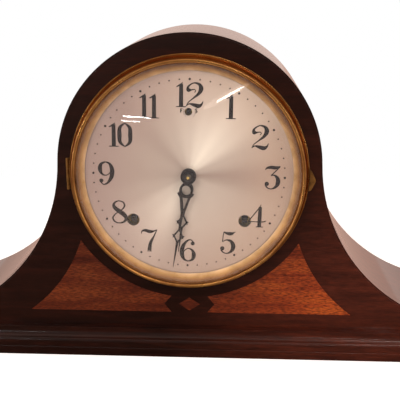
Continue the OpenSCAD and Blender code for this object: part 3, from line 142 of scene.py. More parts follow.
aim = Vector((AIM_RIGHT, PANEL_Y, DIAL_Z - AIM_DOWN)) * MM
back = Vector((math.sin(AZIMUTH) * math.cos(ELEVATION), -math.cos(AZIMUTH) * math.cos(ELEVATION),
               math.sin(ELEVATION)))
camera_data = bpy.data.cameras.new("camera")
camera_data.sensor_width = SENSOR_MM
camera_data.lens = FOCAL_PIXELS / FRAME_PIXELS * SENSOR_MM
camera = bpy.data.objects.new("camera", camera_data)
camera.location = aim + back * DISTANCE
camera.rotation_euler = back.to_track_quat("Z", "Y").to_euler()
scene.collection.objects.link(camera)
scene.camera = camera
scene.view_settings.view_transform = "Standard"
print("camera at", [round(c, 3) for c in camera.location], "with a lens of", round(camera_data.lens, 1), "mm")

# %% [markdown]
# ## The floor
# The clock stands on plain white paper. Near the clock the camera sees it as a real surface, which catches
# the soft shadow, and further out it fades to the white of the backdrop. The lacquer mirrors the floor too.
# In a room the floor is dim in front of a clock and lit behind it, so mirror rays see a dim brown in front
# and a pale glow behind. One sheet whose finish is picked by the kind of ray does all of this.
# %% the sheet of paper
FLOOR_HALF = 3.0
FADE_FROM, FADE_TO = 0.22, 0.55
DIM_TO, PALE_FROM = -0.02, 0.10
PAPER_GLOW, PALE_GLOW = 0.62, 0.85


def paper_finish():
    material, tree, shader, place = new_material("white_paper_floor")
    plug(tree, shader, {"Base Color": "#e9e6e3", "Roughness": 0.9})
    path = add(tree, "ShaderNodeLightPath").outputs
    seen = add(tree, "ShaderNodeMath", {0: path["Is Camera Ray"], 1: path["Is Transmission Ray"]},
               operation="MAXIMUM")
    reach = add(tree, "ShaderNodeVectorMath", {0: place}, operation="LENGTH").outputs["Value"]
    far = add(tree, "ShaderNodeMapRange", {"Value": reach, "From Min": FADE_FROM, "From Max": FADE_TO},
              interpolation_type="SMOOTHSTEP")
    glow = add(tree, "ShaderNodeEmission", {"Strength": PAPER_GLOW})
    lit = add(tree, "ShaderNodeAddShader", {0: shader.outputs[0], 1: glow.outputs[0]})
    white = add(tree, "ShaderNodeEmission", {"Strength": 1.0})
    shown = add(tree, "ShaderNodeMixShader",
                {0: far.outputs["Result"], 1: lit.outputs[0], 2: white.outputs[0]})
    depth = add(tree, "ShaderNodeSeparateXYZ", {0: place}).outputs["Y"]
    behind = add(tree, "ShaderNodeMapRange", {"Value": depth, "From Min": DIM_TO, "From Max": PALE_FROM},
                 interpolation_type="SMOOTHSTEP")
    dim = add(tree, "ShaderNodeBsdfDiffuse", {"Color": "#4c3024"})
    pale = add(tree, "ShaderNodeEmission", {"Color": "#f8c9b6", "Strength": PALE_GLOW})
    image = add(tree, "ShaderNodeMixShader",
                {0: behind.outputs["Result"], 1: dim.outputs[0], 2: pale.outputs[0]})
    other = add(tree, "ShaderNodeMixShader",
                {0: path["Is Glossy Ray"], 1: shader.outputs[0], 2: image.outputs[0]})
    final = add(tree, "ShaderNodeMixShader", {0: seen.outputs[0], 1: other.outputs[0], 2: shown.outputs[0]})
    plug(tree, tree.nodes["Material Output"], {"Surface": final.outputs[0]})
    return material


floor_mesh = bpy.data.meshes.new("floor")
floor_corners = [(x * FLOOR_HALF, y * FLOOR_HALF, 0) for x, y in ((-1, -1), (1, -1), (1, 1), (-1, 1))]
floor_mesh.from_pydata(floor_corners, [], [(0, 1, 2, 3)])
floor_mesh.materials.append(paper_finish())
floor = bpy.data.objects.new("floor", floor_mesh)
scene.collection.objects.link(floor)
print("the paper is", 2 * FLOOR_HALF, "m wide and turns white", FADE_TO, "m from the clock")

# %% [markdown]
# ## The backdrop
# The backdrop is the world itself, because a world needs no edges. The camera meets plain white there, also
# through glass. Mirror rays meet a dim room in front of the clock and a pale one behind it and overhead, as
# dark lacquer shows it, and every other ray a weak warm light, so that no shadow is quite black.
# %% the world
ROOM_DIM, ROOM_PALE, CEILING, AMBIENT = 0.07, 0.95, 0.35, 0.3
BEHIND_FROM, BEHIND_TO = -0.1, 0.25
ABOVE_FROM, ABOVE_TO = 0.55, 0.95


def make_world(name):
    world = bpy.data.worlds.new(name)
    scene.world = world
    world.use_nodes = True
    tree = world.node_tree
    path = add(tree, "ShaderNodeLightPath").outputs
    way = add(tree, "ShaderNodeTexCoord").outputs["Generated"]
    split = add(tree, "ShaderNodeSeparateXYZ", {0: way}).outputs
    behind = add(tree, "ShaderNodeMapRange", {
        "Value": split["Y"], "From Min": BEHIND_FROM, "From Max": BEHIND_TO,
        "To Min": ROOM_DIM, "To Max": ROOM_PALE,
    }, interpolation_type="SMOOTHSTEP").outputs["Result"]
    above = add(tree, "ShaderNodeMapRange", {
        "Value": split["Z"], "From Min": ABOVE_FROM, "From Max": ABOVE_TO,
        "To Min": 0.0, "To Max": CEILING,
    }, interpolation_type="SMOOTHSTEP").outputs["Result"]
    room = add(tree, "ShaderNodeMath", {0: behind, 1: above}, operation="MAXIMUM").outputs[0]
    unseen = add(tree, "ShaderNodeMix", {0: path["Is Glossy Ray"], 2: AMBIENT, 3: room}).outputs[0]
    seen = add(tree, "ShaderNodeMath", {0: path["Is Camera Ray"], 1: path["Is Transmission Ray"]},
               operation="MAXIMUM").outputs[0]
    level = add(tree, "ShaderNodeMix", {0: seen, 2: unseen, 3: 1.0}).outputs[0]
    tint = add(tree, "ShaderNodeMix", {0: seen, 6: "#ffdfd2", 7: "#ffffff"}, data_type="RGBA").outputs[2]
    plug(tree, tree.nodes["Background"], {"Color": tint, "Strength": level})


make_world("studio")
print("the world is", scene.world.name)

# %% [markdown]
# ## The lamps
# Three large soft panels give the case its light and shade. Mirror rays don't see them, because a large
# panel lies on dark lacquer as a grey sheet. Three slim strips stand in for them there, and draw the bright
# lines on the brass and along the edges. Two thin tubes and a soft oval window are dim, and are only there
# for their mirror images, which lie in the domed glass as a room's own lights do. Each row of the list gives
# a lamp's name, place, aim and size in millimetres, its watts and tint, and for the window an oval shape
# and a turn in degrees.
# %% hang the lamps
def make_lamp(name, place_mm, aim_mm, size_mm, watts, tint="#ffffff", shape="RECTANGLE", spin=0):
    data = bpy.data.lights.new(name, "AREA")
    data.shape = shape
    data.size, data.size_y = size_mm[0] * MM, size_mm[1] * MM
    data.energy = watts
    data.color = colour(tint)[:3]
    lamp = bpy.data.objects.new(name, data)
    lamp.location = Vector(place_mm) * MM
    lamp.rotation_euler = (Vector(place_mm) - Vector(aim_mm)).to_track_quat("Z", "Y").to_euler()
    lamp.rotation_euler.rotate_axis("Z", math.radians(spin))
    lamp.visible_glossy = not name.endswith("_panel")
    scene.collection.objects.link(lamp)


LAMPS = (
    ("key_panel", (-700, -1250, 1250), (0, -40, 110), (700, 500), 13.5, "#fff4ea"),
    ("fill_panel", (1100, -900, 700), (0, -40, 110), (600, 600), 6, "#ffeee4"),
    ("top_panel", (150, 250, 1300), (0, 0, 120), (900, 400), 5, "#fff2ee"),
    ("strip_left", (-1100, -520, 260), (0, -60, 133), (60, 700), 1.6, "#fff4ea"),
    ("strip_right", (1100, -520, 260), (0, -60, 133), (60, 700), 1.2, "#fff4ea"),
    ("strip_top", (520, -520, 1050), (0, -60, 133), (650, 40), 1.2, "#fff4ea"),
    ("tube_high", (-596, -1450, 382), (-36, -62, 177), (283, 9), 0.35),
    ("tube_low", (-640, -1410, 336), (-45, -60, 173), (190, 8), 0.14),
    ("window_glow", (290, -1480, 600), (28, -62, 190), (520, 70), 0.1, "#fff6ee", "ELLIPSE", 27),
    ("window_bar", (330, -1481, 622), (28, -62, 190), (330, 22), 0.24, "#fff6ee", "ELLIPSE", 27),
)
for row in LAMPS:
    make_lamp(*row)
hidden = [row[0] for row in LAMPS if row[0].endswith("_panel")]
print(len(LAMPS), "lamps hung, and", len(hidden), "of them are hidden from mirror rays")

# %% [markdown]
# ## Lacquered mahogany
# The case is mahogany under many coats of dark stained lacquer. The eye reads a red-brown that is nearly
# black, with long straight grain along the case, fine dark pores, and a clear gloss on top. So the wood
# itself is a rough base, and the lacquer is the shader's coat. Towards the right and lower down the wood is
# painted lighter and redder, as painted light where more light falls, so each wood has two sets of tones,
# its own and a painted lit set, blended across the case.
# %% how a wood finish is made
BAND_STRETCH = 9
BAND_STOPS = (0.3, 0.5, 0.72)
# Painted light: the slope and the span along it over which each wood turns to its painted lit tones.
LIT_SIDE_SLOPE = (1.0, 0.0, -0.5)
LIT_SIDE_FROM, LIT_SIDE_TO = -0.03, 0.08
CLOUD_MM = 71.43
PORE_DEPTH_MM = 0.02


def make_wood(name, tones, lit_tones, pore_tone, band_mm, fleck_mm, stretch, fleck, coat, turn=0.0):
    material, tree, shader, place = new_material(name)
    broad = grain(tree, place, band_mm * BAND_STRETCH, band_mm, 4.0, 0.8, turn)
    bands = [add(tree, "ShaderNodeValToRGB", {"Fac": broad}, tuple(zip(BAND_STOPS, three)))
             for three in (tones, lit_tones)]
    # Painted light: towards the right and lower down, the tones blend into the lighter, redder painted lit
    # set.
    across = add(tree, "ShaderNodeVectorMath", {0: place, 1: LIT_SIDE_SLOPE}, operation="DOT_PRODUCT")
    lit_side_weight = add(tree, "ShaderNodeMapRange", {
        "Value": across.outputs["Value"], "From Min": LIT_SIDE_FROM, "From Max": LIT_SIDE_TO,
    }, interpolation_type="SMOOTHSTEP").outputs["Result"]
    base = add(tree, "ShaderNodeMix", {0: lit_side_weight, 6: bands[0].outputs["Color"], 7: bands[1].outputs["Color"]},
               data_type="RGBA").outputs[2]
    pores = grain(tree, place, fleck_mm * stretch, fleck_mm, 2.0, 0.3, turn)
    dark = add(tree, "ShaderNodeValToRGB", {"Fac": pores}, ((0.40, fleck), (0.58, 0.0))).outputs["Color"]
    tone = add(tree, "ShaderNodeMix", {0: dark, 6: base, 7: pore_tone}, data_type="RGBA").outputs[2]
    clouds = add(tree, "ShaderNodeTexNoise", {"Vector": place, "Scale": 1 / (CLOUD_MM * MM), "Detail": 2.0})
    shade = add(tree, "ShaderNodeValToRGB", {"Fac": clouds.outputs["Fac"]}, ((0.3, 0.78), (0.7, 1.0)))
    shaded = add(tree, "ShaderNodeMix", {0: 1.0, 6: tone, 7: shade.outputs["Color"]}, data_type="RGBA",
                 blend_type="MULTIPLY").outputs[2]
    relief = add(tree, "ShaderNodeBump", {"Height": pores, "Distance": PORE_DEPTH_MM * MM, "Strength": 0.25})
    plug(tree, shader, {"Base Color": shaded, "Roughness": 0.42, "IOR": 1.5, "Coat Weight": coat,
                        "Coat Roughness": 0.07, "Coat IOR": 1.52, "Normal": relief.outputs["Normal"]})
    return material


print("wood grain is", BAND_STRETCH, "times longer than it is wide")

# %% [markdown]
# ## Three woods
# The body is straight mahogany. The flame panels are mahogany cut from a crotch, where the fibres stand
# nearly on end: orange-red with short dark flecks, and the grain turned a little. The back is plywood that
# was only stained, so it keeps an open brown grain and hardly any gloss.
# %% wood finishes
# The second set of tones for each wood is its painted lit side. The plywood's two sets are the same, so it
# has none.
mahogany = make_wood("mahogany_gloss_lacquer", ("#1c0804", "#270d06", "#341208"),
                     ("#40170c", "#501e0f", "#602512"), "#0e0302",
                     band_mm=5.0, fleck_mm=0.6, stretch=11, fleck=0.4, coat=0.7)
flame = make_wood("flame_mahogany_veneer", ("#521a06", "#6e2908", "#8a3c0e"),
                  ("#8c300a", "#b0460e", "#cc6016"), "#340e05",
                  band_mm=7.0, fleck_mm=0.6, stretch=6.0, fleck=0.7, coat=0.85, turn=math.radians(5))
bare_wood = make_wood("stained_plywood", ("#4a3020", "#63422b", "#775036"),
                      ("#4a3020", "#63422b", "#775036"), "#332015",
                      band_mm=6.0, fleck_mm=0.9, stretch=11, fleck=0.5, coat=0.1)
print("wood finishes:", mahogany.name, flame.name, bare_wood.name)

# %% [markdown]
# ## Painted shade over the radius
# The bezel and the ring inside it are painted darker in the cove and in the corner at the glass, as painted
# shade where those hollows lie in shadow, while the bezel's crest and lip keep their full tone. Both are
# round, so this painted shade follows the radius from the middle of the dial. Each list below gives a radius
# in millimetres and the tone that the brass is multiplied by there.
# %% radius round the dial
RIM_IN, RIM_OUT = 70.0, 83.0
# Painted shade on the sight ring: darker outwards, towards the corner at the glass.
RING_PAINTED_SHADE = (
    (71.0, "#ffffff"), (72.5, "#eddcb0"), (73.8, "#c4a56c"), (75.2, "#906d38"), (77.0, "#705024"),
)
# Painted shade on the bezel: darker at the wall and in the cove, full tone on the crest and the lip.
BEZEL_PAINTED_SHADE = (
    (76.4, "#e8d0b0"), (77.2, "#ffffff"), (78.4, "#ffffff"), (79.2, "#b88250"), (80.6, "#b07848"),
    (81.2, "#ffffff"), (82.0, "#f4e0c8"),
)


def round_dial(tree, place):
    centred = add(tree, "ShaderNodeVectorMath", {0: place, 1: (0, 0, DIAL_Z * MM)}, operation="SUBTRACT")
    split = add(tree, "ShaderNodeSeparateXYZ", {0: centred.outputs[0]}).outputs
    flat = add(tree, "ShaderNodeCombineXYZ", {0: split["X"], 1: split["Z"]}).outputs[0]
    radius = add(tree, "ShaderNodeVectorMath", {0: flat}, operation="LENGTH").outputs["Value"]
    return split, radius


# Painted shade: a ramp over the radius that a brass colour is multiplied by.
def rim_tone(tree, place, tones):
    radius = round_dial(tree, place)[1]
    along = add(tree, "ShaderNodeMapRange", {
        "Value": radius, "From Min": RIM_IN * MM, "From Max": RIM_OUT * MM,
    }).outputs["Result"]
    stops = [((r - RIM_IN) / (RIM_OUT - RIM_IN), tone) for r, tone in tones]
    return add(tree, "ShaderNodeValToRGB", {"Fac": along}, stops).outputs["Color"]


print(len(BEZEL_PAINTED_SHADE), "tones over the bezel and", len(RING_PAINTED_SHADE), "over the sight ring")

# %% [markdown]
# ## Metals
# Every metal here keeps the default IOR and differs in colour, roughness and marks. Old brass is never even,
# so a soft noise moves both its colour and its roughness, and fine scratches run along the clock. Real ones
# are far finer than these, which are drawn half a millimetre wide so that they show.
# %% how a metal finish is made
SCRATCH_MM, SCRATCH_STRETCH, SCRATCH_DEPTH_MM = 0.5, 14, 0.01
ROUGHER, SMOOTHER = 1.35, 0.85


def make_metal(name, bright, dull, rough, patch_mm, metallic=1.0, rim_shade=None):
    material, tree, shader, place = new_material(name)
    patches = add(tree, "ShaderNodeTexNoise", {
        "Vector": place, "Scale": 1 / (patch_mm * MM), "Detail": 4.0, "Roughness": 0.6,
    }).outputs["Fac"]
    tone = add(tree, "ShaderNodeValToRGB", {"Fac": patches}, ((0.36, dull), (0.62, bright))).outputs["Color"]
    # Painted shade over the radius, for the parts that have it.
    if rim_shade:
        tone = add(tree, "ShaderNodeMix", {0: 1.0, 6: tone, 7: rim_tone(tree, place, rim_shade)},
                   data_type="RGBA", blend_type="MULTIPLY").outputs[2]
    spread = add(tree, "ShaderNodeMapRange", {
        "Value": patches, "From Min": 0.3, "From Max": 0.7,
        "To Min": rough * ROUGHER, "To Max": rough * SMOOTHER,
    }).outputs["Result"]
    scratches = grain(tree, place, SCRATCH_MM * SCRATCH_STRETCH, SCRATCH_MM, 2.0)
    relief = add(tree, "ShaderNodeBump",
                 {"Height": scratches, "Distance": SCRATCH_DEPTH_MM * MM, "Strength": 0.12})
    plug(tree, shader, {"Base Color": tone, "Metallic": metallic, "Roughness": spread,
                        "Normal": relief.outputs["Normal"]})
    return material


print("scratches are", SCRATCH_MM, "mm wide and", SCRATCH_MM * SCRATCH_STRETCH, "mm long")

# %% [markdown]
# ## Brass in five states
# Brass is the clock's main metal, and its surface tells what each part went through: the spun bezel kept
# its lacquer, the fittings at the back were handled, the ring under the glass was gilded to a soft cream,
# the wheels and plates are bare rolled sheet, and the bezel's hinge and tab have tarnished brown.
# %% brass finishes
# The bezel and the sight ring carry the painted shade listed above.
bezel_brass = make_metal("spun_lacquered_brass", "#eab468", "#c0864a", 0.28, 22.0, 0.85, BEZEL_PAINTED_SHADE)
fitting_brass = make_metal("lacquered_brass_fittings", "#bf8d4c", "#8f6230", 0.32, 9.0, 0.9)
sight_brass = make_metal("cream_gilt_brass", "#d8b488", "#b8935e", 0.48, 12.0, 0.45, RING_PAINTED_SHADE)
clock_brass = make_metal("rolled_clock_brass", "#d8b261", "#a9843f", 0.3, 12.0)
aged_brass = make_metal("tarnished_brass", "#a5793f", "#78552c", 0.4, 5.0, 0.6)
print("brass finishes made")

# %% [markdown]
# ## Steel, nickel and iron
# Levers, screws and pillar nuts are ground bright. The hands were heated until they turned a blue so deep
# that it reads as brown, and the springs and the gong are tempered and blue-grey. The winding arbors are
# painted dark, which stands partly for the shade deep inside their holes in the dial. The dial pan is
# nickel that has gone dull. The gong's stand is iron under stove black, which is a matt coating and no bare
# metal.
# %% steel, nickel and iron finishes
steel = make_metal("ground_steel", "#c9c9cc", "#8f9094", 0.28, 8.0)
blued = make_metal("dark_blued_steel", "#2e211d", "#181110", 0.36, 6.0)
# Dark steel, partly painted shade: the arbors deep in the dial's holes are dark for the shade there.
dark_steel = make_metal("dark_steel_and_hole_shade", "#40362f", "#241d19", 0.45, 5.0)
spring_steel = make_metal("tempered_spring_steel", "#7c8490", "#4d5560", 0.3, 10.0)
nickel = make_metal("dull_nickel", "#b8ada0", "#857a6c", 0.34, 8.0)

CAST_GRAIN_MM, CAST_DEPTH_MM = 1.11, 0.08


def make_black_iron():
    material, tree, shader, place = new_material("stove_black_iron")
    rough = add(tree, "ShaderNodeTexNoise", {
        "Vector": place, "Scale": 1 / (CAST_GRAIN_MM * MM), "Detail": 3.0,
    }).outputs["Fac"]
    tone = add(tree, "ShaderNodeValToRGB", {"Fac": rough}, ((0.3, "#19191b"), (0.7, "#2c2b2d")))
    relief = add(tree, "ShaderNodeBump", {"Height": rough, "Distance": CAST_DEPTH_MM * MM, "Strength": 0.4})
    plug(tree, shader, {"Base Color": tone.outputs["Color"], "Roughness": 0.55, "IOR": 1.5,
                        "Normal": relief.outputs["Normal"]})
    return material


black_iron = make_black_iron()
print("steel, nickel and iron finishes made")

# %% [markdown]
# ## The silvered dial
# The dial is sheet metal, brushed round its centre and silvered under a warm lacquer. Rings of fine brush
# marks spread light into bright wedges that meet at the hands. Here those wedges are painted sheen: a ramp
# over the angle round the centre, painted into the dial's colour, that fades outwards into a tone painted
# lighter and warmer towards the right, as painted light. The rings themselves are a bump over the radius.
# Each pair in the list is a part of a full turn, clockwise from the top, and how bright the painted wedge
# is there. Real brush marks are too fine to show, so these are drawn about half a millimetre wide.
# %% the painted wedges of sheen
# Painted sheen: how bright the painted wedge is at each part of a turn.
PAINTED_SHEEN = (
    (0.00, 0.60), (0.05, 0.85), (0.09, 1.00), (0.13, 0.85), (0.19, 0.40), (0.25, 0.15), (0.33, 0.40),
    (0.42, 0.45), (0.52, 0.55), (0.58, 0.80), (0.64, 0.60), (0.69, 0.35), (0.75, 0.25), (0.82, 0.28),
    (0.88, 0.22), (0.94, 0.40), (1.00, 0.60),
)


def sheen_tone(tree, split):
    angle = add(tree, "ShaderNodeMath", {0: split["X"], 1: split["Z"]}, operation="ARCTAN2").outputs[0]
    turn = add(tree, "ShaderNodeMath", {0: angle, 1: math.tau}, operation="DIVIDE").outputs[0]
    turn = add(tree, "ShaderNodeMath", {0: turn, 1: 1.0}, operation="ADD").outputs[0]
    turn = add(tree, "ShaderNodeMath", {0: turn}, operation="FRACT").outputs[0]
    painted_sheen_ramp = add(tree, "ShaderNodeValToRGB", {"Fac": turn}, PAINTED_SHEEN)
    painted_sheen_ramp.color_ramp.interpolation = "EASE"
    # Painted sheen: a shaded tone where the wedges are dim, near white where they are brightest.
    return add(tree, "ShaderNodeMix", {0: painted_sheen_ramp.outputs["Color"], 6: "#937a6e", 7: "#fff6e6"},
               data_type="RGBA").outputs[2]


print(len(PAINTED_SHEEN), "stops round the dial")

# %% dial finish
WEDGE_FROM, WEDGE_TO = 0.012, 0.07
FADE_LEAST, FADE_MOST = 0.05, 0.7
LIT_SIDE_HALF = 0.05
BRUSH_MM, BRUSH_DEPTH_MM = 0.45, 0.006


def make_dial_finish():
    material, tree, shader, place = new_material("silvered_dial_warm_lacquer")
    split, radius = round_dial(tree, place)
    # Painted light: further out the tone is lighter and warmer towards the right, where the dial is painted
    # as more brightly lit.
    side = add(tree, "ShaderNodeMapRange", {
        "Value": split["X"], "From Min": -LIT_SIDE_HALF, "From Max": LIT_SIDE_HALF,
    }).outputs["Result"]
    outer = add(tree, "ShaderNodeMix", {0: side, 6: "#a68a82", 7: "#c0a18a"}, data_type="RGBA").outputs[2]
    # The painted sheen is strongest near the middle and gives way to the outer tone further out.
    fade = add(tree, "ShaderNodeMapRange", {
        "Value": radius, "From Min": WEDGE_FROM, "From Max": WEDGE_TO,
        "To Min": FADE_LEAST, "To Max": FADE_MOST,
    }, interpolation_type="SMOOTHSTEP").outputs["Result"]
    tone = add(tree, "ShaderNodeMix", {0: fade, 6: sheen_tone(tree, split), 7: outer},
               data_type="RGBA").outputs[2]
    ring = add(tree, "ShaderNodeMath", {0: radius, 1: 1 / (BRUSH_MM * MM)}, operation="MULTIPLY").outputs[0]
    brushed = add(tree, "ShaderNodeTexNoise", {"W": ring, "Scale": 1.0, "Detail": 3.0},
                  noise_dimensions="1D").outputs["Fac"]
    marks = add(tree, "ShaderNodeValToRGB", {"Fac": brushed}, ((0.3, 0.93), (0.7, 1.0))).outputs["Color"]
    marked = add(tree, "ShaderNodeMix", {0: 1.0, 6: tone, 7: marks}, data_type="RGBA",
                 blend_type="MULTIPLY").outputs[2]
    relief = add(tree, "ShaderNodeBump",
                 {"Height": brushed, "Distance": BRUSH_DEPTH_MM * MM, "Strength": 0.5})
    plug(tree, shader, {"Base Color": marked, "Metallic": 0.2, "Roughness": 0.48,
                        "Normal": relief.outputs["Normal"]})
    return material


dial_silver = make_dial_finish()
print("dial finish:", dial_silver.name)

# %% [markdown]
# ## Printing ink
# The numbers are printed in enamel ink. It is a brown that is nearly black, a little uneven, and so matt
# that it hardly shines where the dial does, so its specular level is low.
# %% ink finish
INK_GRAIN_MM = 1.43


def make_ink():
    material, tree, shader, place = new_material("dark_brown_enamel_ink")
    worn = add(tree, "ShaderNodeTexNoise", {
        "Vector": place, "Scale": 1 / (INK_GRAIN_MM * MM), "Detail": 3.0,
    }).outputs["Fac"]
    tone = add(tree, "ShaderNodeValToRGB", {"Fac": worn}, ((0.3, "#140b08"), (0.75, "#2a1a13")))
    plug(tree, shader, {"Base Color": tone.outputs["Color"], "Roughness": 0.8, "IOR": 1.45,
                        "Specular IOR Level": 0.12})
    return material


ink = make_ink()
print("ink finish:", ink.name)

# %% [markdown]
# ## Clear glass
# The dome is plain glass, under two millimetres thick. In the real world it lets nearly all light through
# to the dial. A path tracer loses that light without caustics, so shadow rays and diffuse rays pass it as
# open air, and the camera sees it as it is. Dust blurs its mirror image by a trace.
# %% glass finish
DUST_MM, HAZE = 16.67, 0.006


def make_glass():
    material, tree, shader, place = new_material("clear_window_glass")
    dust = add(tree, "ShaderNodeTexNoise", {"Vector": place, "Scale": 1 / (DUST_MM * MM), "Detail": 3.0})
    haze = add(tree, "ShaderNodeMapRange", {
        "Value": dust.outputs["Fac"], "From Min": 0.45, "From Max": 0.8, "To Min": 0.0, "To Max": HAZE,
    }).outputs["Result"]
    plug(tree, shader, {"Base Color": "#ffffff", "Roughness": haze, "IOR": 1.5, "Transmission Weight": 1.0})
    open_air = add(tree, "ShaderNodeBsdfTransparent").outputs[0]
    path = add(tree, "ShaderNodeLightPath").outputs
    passes = add(tree, "ShaderNodeMath", {0: path["Is Shadow Ray"], 1: path["Is Diffuse Ray"]},
                 operation="MAXIMUM").outputs[0]
    final = add(tree, "ShaderNodeMixShader", {0: passes, 1: shader.outputs[0], 2: open_air}).outputs[0]
    plug(tree, tree.nodes["Material Output"], {"Surface": final})
    return material


glass = make_glass()
print("glass finish:", glass.name)

# %% [markdown]
# ## Softened edges
# No real edge is quite sharp, and a solid from CAD is. A solid part keeps its mesh, and modifiers soften its
# corners: the loose triangles are joined, flat faces become one face each, a small bevel catches the light
# as a sanded or turned edge does, and normals are weighted so that flats stay flat.
# %% soften a part
JOIN_WITHIN = 1e-6
FLAT_WITHIN, ROUND_OVER, SPLIT_OVER = math.radians(1.5), math.radians(38), math.radians(34)


def soften(part, edge_mm):
    part.data.polygons.foreach_set("use_smooth", [True] * len(part.data.polygons))
    weld = part.modifiers.new("join", "WELD")
    weld.merge_threshold = JOIN_WITHIN
    flats = part.modifiers.new("flats", "DECIMATE")
    flats.decimate_type = "DISSOLVE"
    flats.angle_limit = FLAT_WITHIN
    if edge_mm:
        bevel = part.modifiers.new("edges", "BEVEL")
        bevel.width = edge_mm * MM
        bevel.segments = 2
        bevel.limit_method = "ANGLE"
        bevel.angle_limit = ROUND_OVER
        bevel.use_clamp_overlap = True
    split = part.modifiers.new("sharp", "EDGE_SPLIT")
    split.split_angle = SPLIT_OVER
    weighted = part.modifiers.new("shading", "WEIGHTED_NORMAL")
    weighted.keep_sharp = True
    part.data.update()


print("edges sharper than", round(math.degrees(ROUND_OVER)), "degrees are rounded")

# %% [markdown]
# ## Dressing the solid parts
# Each row names a finish, the width of the softened edge in millimetres, and the parts that wear it.
# Sanded wood has the widest edges. Thin sheet, springs, inlays and arbors keep theirs sharp.
# %% dress each solid part
DRESS = (
    (mahogany, 0.35, "front_board case_wrap base_board"),
    (flame, 0.0, "flame_inlays"),
    (bare_wood, 0.25, "back_board back_door glue_blocks"),
    (fitting_brass, 0.12, "door_knob door_hinge_case_leaves door_hinge_door_leaves door_button"),
    (aged_brass, 0.12, "bezel_pull bezel_hinge_knuckle bezel_hinge_plate"),
    # The hand nut is dark steel, and the arbors are painted dark, partly for the shade inside the dial's
    # holes.
    (dark_steel, 0.0, "hand_nut time_winding_arbor strike_winding_arbor regulator_arbor"),
    (sight_brass, 0.0, "sight_ring"),
    (dial_silver, 0.0, "dial_plate"),
    (nickel, 0.0, "dial_pan dial_screws"),
    (blued, 0.1, "minute_hand hour_hand"),
    (clock_brass, 0.08, "cannon_pinion minute_wheel hour_wheel front_plate back_plate pillars"
     " time_great_wheel second_wheel centre_wheel third_wheel escape_wheel suspension_carriage pendulum_bob"
     " rating_nut strike_great_wheel strike_second_wheel cam_wheel warning_wheel fly count_wheel"),
    (steel, 0.08, "pillar_nuts movement_screws time_click"
     " strike_click verge_and_crutch pendulum_rod count_lever lifting_lever hammer"),
    (spring_steel, 0.0, "time_mainspring strike_mainspring gong_coil"),
    (black_iron, 0.2, "gong_stand"),
)
dressed = 0
for material, edge_mm, names in DRESS:
    for name in names.split():
        part = nodes[name]
        part.data.materials.clear()
        part.data.materials.append(material)
        soften(part, edge_mm)
        dressed += 1
print("dressed", dressed, "solid parts")

# %% [markdown]
# ## Turned parts
# The bezel and its glass are spun shapes. A profile drawn in radius and height above the panel, turned
# through 256 steps, gives them the smooth line that a mirror finish shows up. They replace the coarser
# solids, and fill the same space.
# %% a lathe for profiles
LATHE_STEPS = 256
SHARP_OVER, DOUBLES_WITHIN = math.radians(30), 1e-7


def finish_piece(piece, material):
    clean = bmesh.new()
    clean.from_mesh(piece.data)
    bmesh.ops.remove_doubles(clean, verts=clean.verts, dist=DOUBLES_WITHIN)
    bmesh.ops.recalc_face_normals(clean, faces=clean.faces)
    clean.to_mesh(piece.data)
    clean.free()
    piece.data.materials.append(material)
    piece.data.polygons.foreach_set("use_smooth", [True] * len(piece.data.polygons))
    piece.data.set_sharp_from_angle(angle=SHARP_OVER)


def turned_piece(name, profile, material, closed=True):
    corners, faces, count = [], [], len(profile)
    for step in range(LATHE_STEPS):
        a = math.tau * step / LATHE_STEPS
        corners += [((r * math.cos(a)) * MM, (PANEL_Y - h) * MM, (DIAL_Z + r * math.sin(a)) * MM)
                    for r, h in profile]
    for step in range(LATHE_STEPS):
        here, there = step * count, (step + 1) % LATHE_STEPS * count
        for k in range(count if closed else count - 1):
            after = (k + 1) % count
            faces.append((here + k, here + after, there + after, there + k))
    mesh = bpy.data.meshes.new(name)
    mesh.from_pydata(corners, [], faces)
    piece = bpy.data.objects.new(name, mesh)
    scene.collection.objects.link(piece)
    finish_piece(piece, material)
    return piece


print("the lathe turns in", LATHE_STEPS, "steps")

# %% [markdown]
# ## The bezel
# From the panel out, the spun ring has a thin rolled lip, a groove, a hollow cove, a bright ridge, and the
# wall that holds the glass. The lip and the ridge are arcs and the cove is nearly a quarter of an ellipse,
# so each of them throws its own line of light. Sizes that end in _OUT, _IN or _FOOT are measured across,
# from the rim or the ridge, and those that end in _DOWN are measured down from the top.
# %% the bezel's profile
BEZEL_R, BEZEL_H, WALL_R, RIDGE_R = 81.8, 11.0, 77.6, 78.8
PANEL_GAP, GLASS_LOW, GLASS_T, GLASS_H = 0.25, 7.8, 1.6, 21.0
LIP_W, LIP_H, LIP_MID, LIP_FOOT, LIP_STEPS = 0.55, 0.95, 1.2, 0.3, 10
GROOVE_OUT, GROOVE_IN, GROOVE_TOP, GROOVE_BED = 0.85, 1.0, 2.05, 1.95
COVE_OUT, COVE_IN, COVE_LOW, COVE_TOP = 1.15, 0.1, 2.1, BEZEL_H - 1.5
COVE_FROM, COVE_SWEEP, COVE_STEPS = 8, 80, 16
RIDGE_HALF, RIDGE_DOWN, RIDGE_STEP = 1.0, 1.05, 0.05
RIDGE_FROM, RIDGE_TO, RIDGE_STEPS = 5, 172, 14
WALL_T, WALL_DOWN, SEAT_H, FIT = 0.95, 1.1, 0.45, 0.02


def arc_points(mid_r, mid_h, half_r, half_h, first, last, steps):
    angles = [math.radians(first + (last - first) * i / steps) for i in range(steps + 1)]
    return [(mid_r + half_r * math.cos(a), mid_h + half_h * math.sin(a)) for a in angles]


